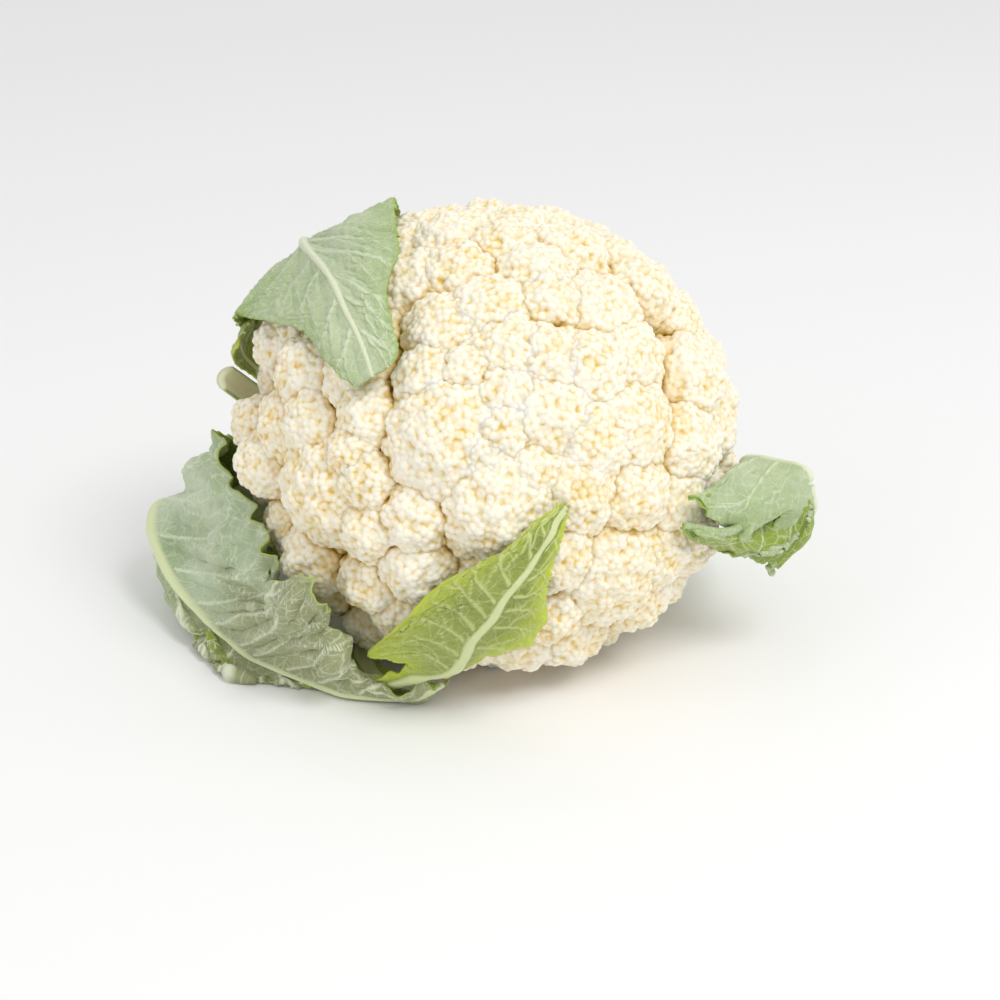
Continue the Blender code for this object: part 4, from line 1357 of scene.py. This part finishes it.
@dataclass
class Core:
    """The underside of the head: pale branches that fan out from the stalk to the florets."""

    seat: float = -0.0459
    share: float = 0.855
    hidden_share: float = 0.72
    branches: int = 13
    groove: float = 0.0022
    floor_gap: float = 0.0004

    def build(self) -> bpy.types.Object:
        """Makes the core, cut flat where the stalk begins."""
        clear_selection()
        bpy.ops.mesh.primitive_ico_sphere_add(subdivisions=7, radius=1)
        core = bpy.context.object
        core.name = core.data.name = "curd_branches"
        away = points_of(core.data)
        away /= np.linalg.norm(away, axis=1, keepdims=True)
        local = away @ HEAD.axes().T
        tilt = np.degrees(np.arccos(np.clip(local[:, 2], -1, 1)))
        turn = np.arctan2(local[:, 1], local[:, 0])
        wander = turn * self.branches + 1.3 * np.sin(turn * 3 + 1) + 0.02 * tilt
        groove = np.abs(np.sin(wander / 2)) ** 3 + 0.5 * np.abs(np.sin(wander + tilt * 0.05)) ** 4
        depth = self.groove * groove * swept(tilt, 100, 120) * (1 - swept(tilt, 140, 160))
        share = self.hidden_share + (self.share - self.hidden_share) * swept(tilt, 88, 104)
        placed = away * (HEAD.outline(away) * share - depth)[:, None]
        crown = HEAD.axes()[2]
        along = placed @ crown
        placed += crown * np.maximum(self.seat - along, 0)[:, None] + CENTRE
        placed[:, 2] = np.maximum(placed[:, 2], self.floor_gap)
        set_points(core.data, placed)
        set_attribute(core.data, "cut", np.zeros(len(placed)))
        # The grooves between the branches are coloured darker, with the scar colour, the deeper they are.
        set_attribute(core.data, "scar", 0.5 * groove * swept(tilt, 100, 120))
        core.data.shade_smooth()
        return adopt(core, StalkFinish(name="branch_pale").build(), "curd")


def stump_rows(turn: float, end_tilt: float, half_width: float, drift: float = 0) -> list:
    """Rows of the stump of a cut leaf, which hugs the back of the head from the stalk outwards.

    Args:
        turn: where it starts, in degrees round the crown axis.
        end_tilt: how far it reaches, in degrees from the crown axis.
        half_width: half its width at the stalk, in metres.
        drift: how much it turns further on its way.

    Returns:
        Rows of world points.
    """
    start_tilt, clearance, side_drop, narrowing = 148, 9, 2, 0.15
    rows = []
    for share in np.linspace(0, 1, 4):
        tilt = start_tilt + (end_tilt - start_tilt) * share
        off_axis = HEAD.outline(HEAD.direction(tilt, turn)) * math.sin(math.radians(tilt))
        spread = math.degrees(half_width * (1 - narrowing * share) / off_axis)
        rows.append([
            HEAD.on_head(tilt, turn + drift * share + side * spread, clearance - abs(side) * side_drop)
            for side in (-1, -0.5, 0, 0.5, 1)
        ])
    return rows


def stumps() -> list[Leaf]:
    """The stumps of cut leaves: one at the left edge of the head and three behind it."""
    shared = {
        "finish": PALE_RIB,
        "veins": (),
        "stem_share": 2.0,
        "lines": 90,
        "columns": 44,
        "slot": Slot.LEAF_RIB,
    }
    flap_veins = ((-1, 0.3, 0.5), (1, 0.3, 0.5), (-1, 0.6, 0.8), (1, 0.6, 0.8))
    flap = head_rows([
        [(100, 160, 6), (100, 159, 7), (100, 158, 7), (100, 157, 7), (100, 156, 6)],
        [(94, 161, 7), (94, 160, 8), (94, 158, 8), (93, 156, 8), (93, 154, 7)],
        [(88, 162, 7), (88, 160, 8), (87, 158, 8), (87, 155, 8), (86, 153, 6)],
        [(83, 162, 7), (83, 160, 7), (83, 158, 7), (82, 156, 7), (82, 154, 6)],
        [(80, 161, 6), (80, 160, 6), (80, 158, 6), (80, 157, 6), (79, 156, 6)],
    ])
    made = [
        Leaf("side_leaf_rib", on_stalk(stump_rows(158, 88, 0.005, 8)), rib=0.0045, rib_end=0.0032,
             node="side_leaf_stub", seed=31, **shared),
        Leaf("side_leaf_flap", flap, BRIGHT_GREEN, flap_veins, node="side_leaf_stub", slot=Slot.LEAF_RIB,
             rib=0.0016, rib_end=0.0009, rib_width=(0.0008, 0.0004), stem_share=0.05, lines=70,
             columns=50, teeth=0.0007, crumple=0.0004, wave=0.0006, puff=0.0004, seed=37),
    ]
    for number, (turn, end_tilt) in enumerate(((76, 118), (30, 122), (312, 122)), start=1):
        rows = on_stalk(stump_rows(turn, end_tilt, 0.0078))
        made.append(Leaf(f"cut_rib_{number}", rows, rib=0.007, rib_end=0.006,
                         node=f"cut_leaf_base_{number}", seed=40 + number, **shared))
    return made


# ------------------------------------------------------------------------------------- the studio


@dataclass(frozen=True)
class Lamp:
    """A round soft panel that faces the head: sizes in metres, power in watts."""

    name: str
    place: tuple[float, float, float]
    size: float
    power: float


@dataclass(frozen=True)
class Studio:
    """A pale floor, a pale surround, soft lights and the camera."""

    lens: float = 90
    sensor: float = 36
    distance: float = 0.885
    elevation: float = math.radians(25)
    aim_across: float = 0.00266
    aim_up: float = -0.0202
    floor_half: float = 6
    floor_shade: float = 0.95
    floor_roughness: float = 0.9
    surround: float = 0.66
    lamps: tuple[Lamp, ...] = (
        Lamp("key", (0.8, -0.75, 1.6), size=0.9, power=15.5),
        Lamp("fill", (-1.2, -0.8, 1.0), size=1.2, power=2.5),
    )

    def build(self) -> None:
        """Makes the whole studio."""
        self.floor()
        self.lights()
        self.camera()

    def floor(self) -> None:
        """A large plain floor."""
        clear_selection()
        bpy.ops.mesh.primitive_plane_add(size=self.floor_half * 2, location=(0, 0, -FLOOR_TOUCH))
        floor = bpy.context.object
        floor.name = "floor"
        bpy.ops.object.transform_apply(location=True, rotation=True, scale=True)
        n = Nodes("floor_pale")
        n.shader.inputs["Base Color"].default_value = (*[self.floor_shade] * 3, 1)
        n.shader.inputs["Roughness"].default_value = self.floor_roughness
        floor.data.materials.append(n.material)

    def lights(self) -> None:
        """A bright even surround and two soft panels."""
        scene = bpy.context.scene
        world = bpy.data.worlds.new("studio")
        scene.world = world
        world.use_nodes = True
        back = world.node_tree.nodes["Background"]
        back.inputs["Color"].default_value = (1, 1, 1, 1)
        back.inputs["Strength"].default_value = self.surround
        for lamp in self.lamps:
            light = bpy.data.lights.new(lamp.name, "AREA")
            light.shape = "DISK"
            light.size = lamp.size
            light.energy = lamp.power
            panel = bpy.data.objects.new(lamp.name, light)
            panel.location = lamp.place
            towards = Vector(HEAD.centre) - Vector(lamp.place)
            panel.rotation_euler = towards.to_track_quat("-Z", "Y").to_euler()
            scene.collection.objects.link(panel)

    def camera(self) -> None:
        """The camera: it looks along +Y and down."""
        data = bpy.data.cameras.new("camera")
        data.lens = self.lens
        data.sensor_width = self.sensor
        camera = bpy.data.objects.new("camera", data)
        s, c = math.sin(self.elevation), math.cos(self.elevation)
        aim = Vector(HEAD.centre) + Vector((self.aim_across, 0, 0)) + Vector((0, s, c)) * self.aim_up
        camera.location = aim - Vector((0, c, -s)) * self.distance
        camera.rotation_euler = (math.pi / 2 - self.elevation, 0, 0)
        bpy.context.scene.collection.objects.link(camera)
        bpy.context.scene.camera = camera
        bpy.context.scene.view_settings.view_transform = "Standard"


def main() -> None:
    """Builds the head piece by piece and reports each."""
    logging.basicConfig(level=logging.INFO, format="%(name)s: %(message)s")
    for name in ("Cube", "Light", "Camera"):
        if name in bpy.data.objects:
            bpy.data.objects.remove(bpy.data.objects[name])
    CURD.build()
    for leaf in leaves() + stumps():
        leaf.build()
    Stalk().build()
    Core().build()
    Studio().build()


if __name__ == "__main__":
    main()
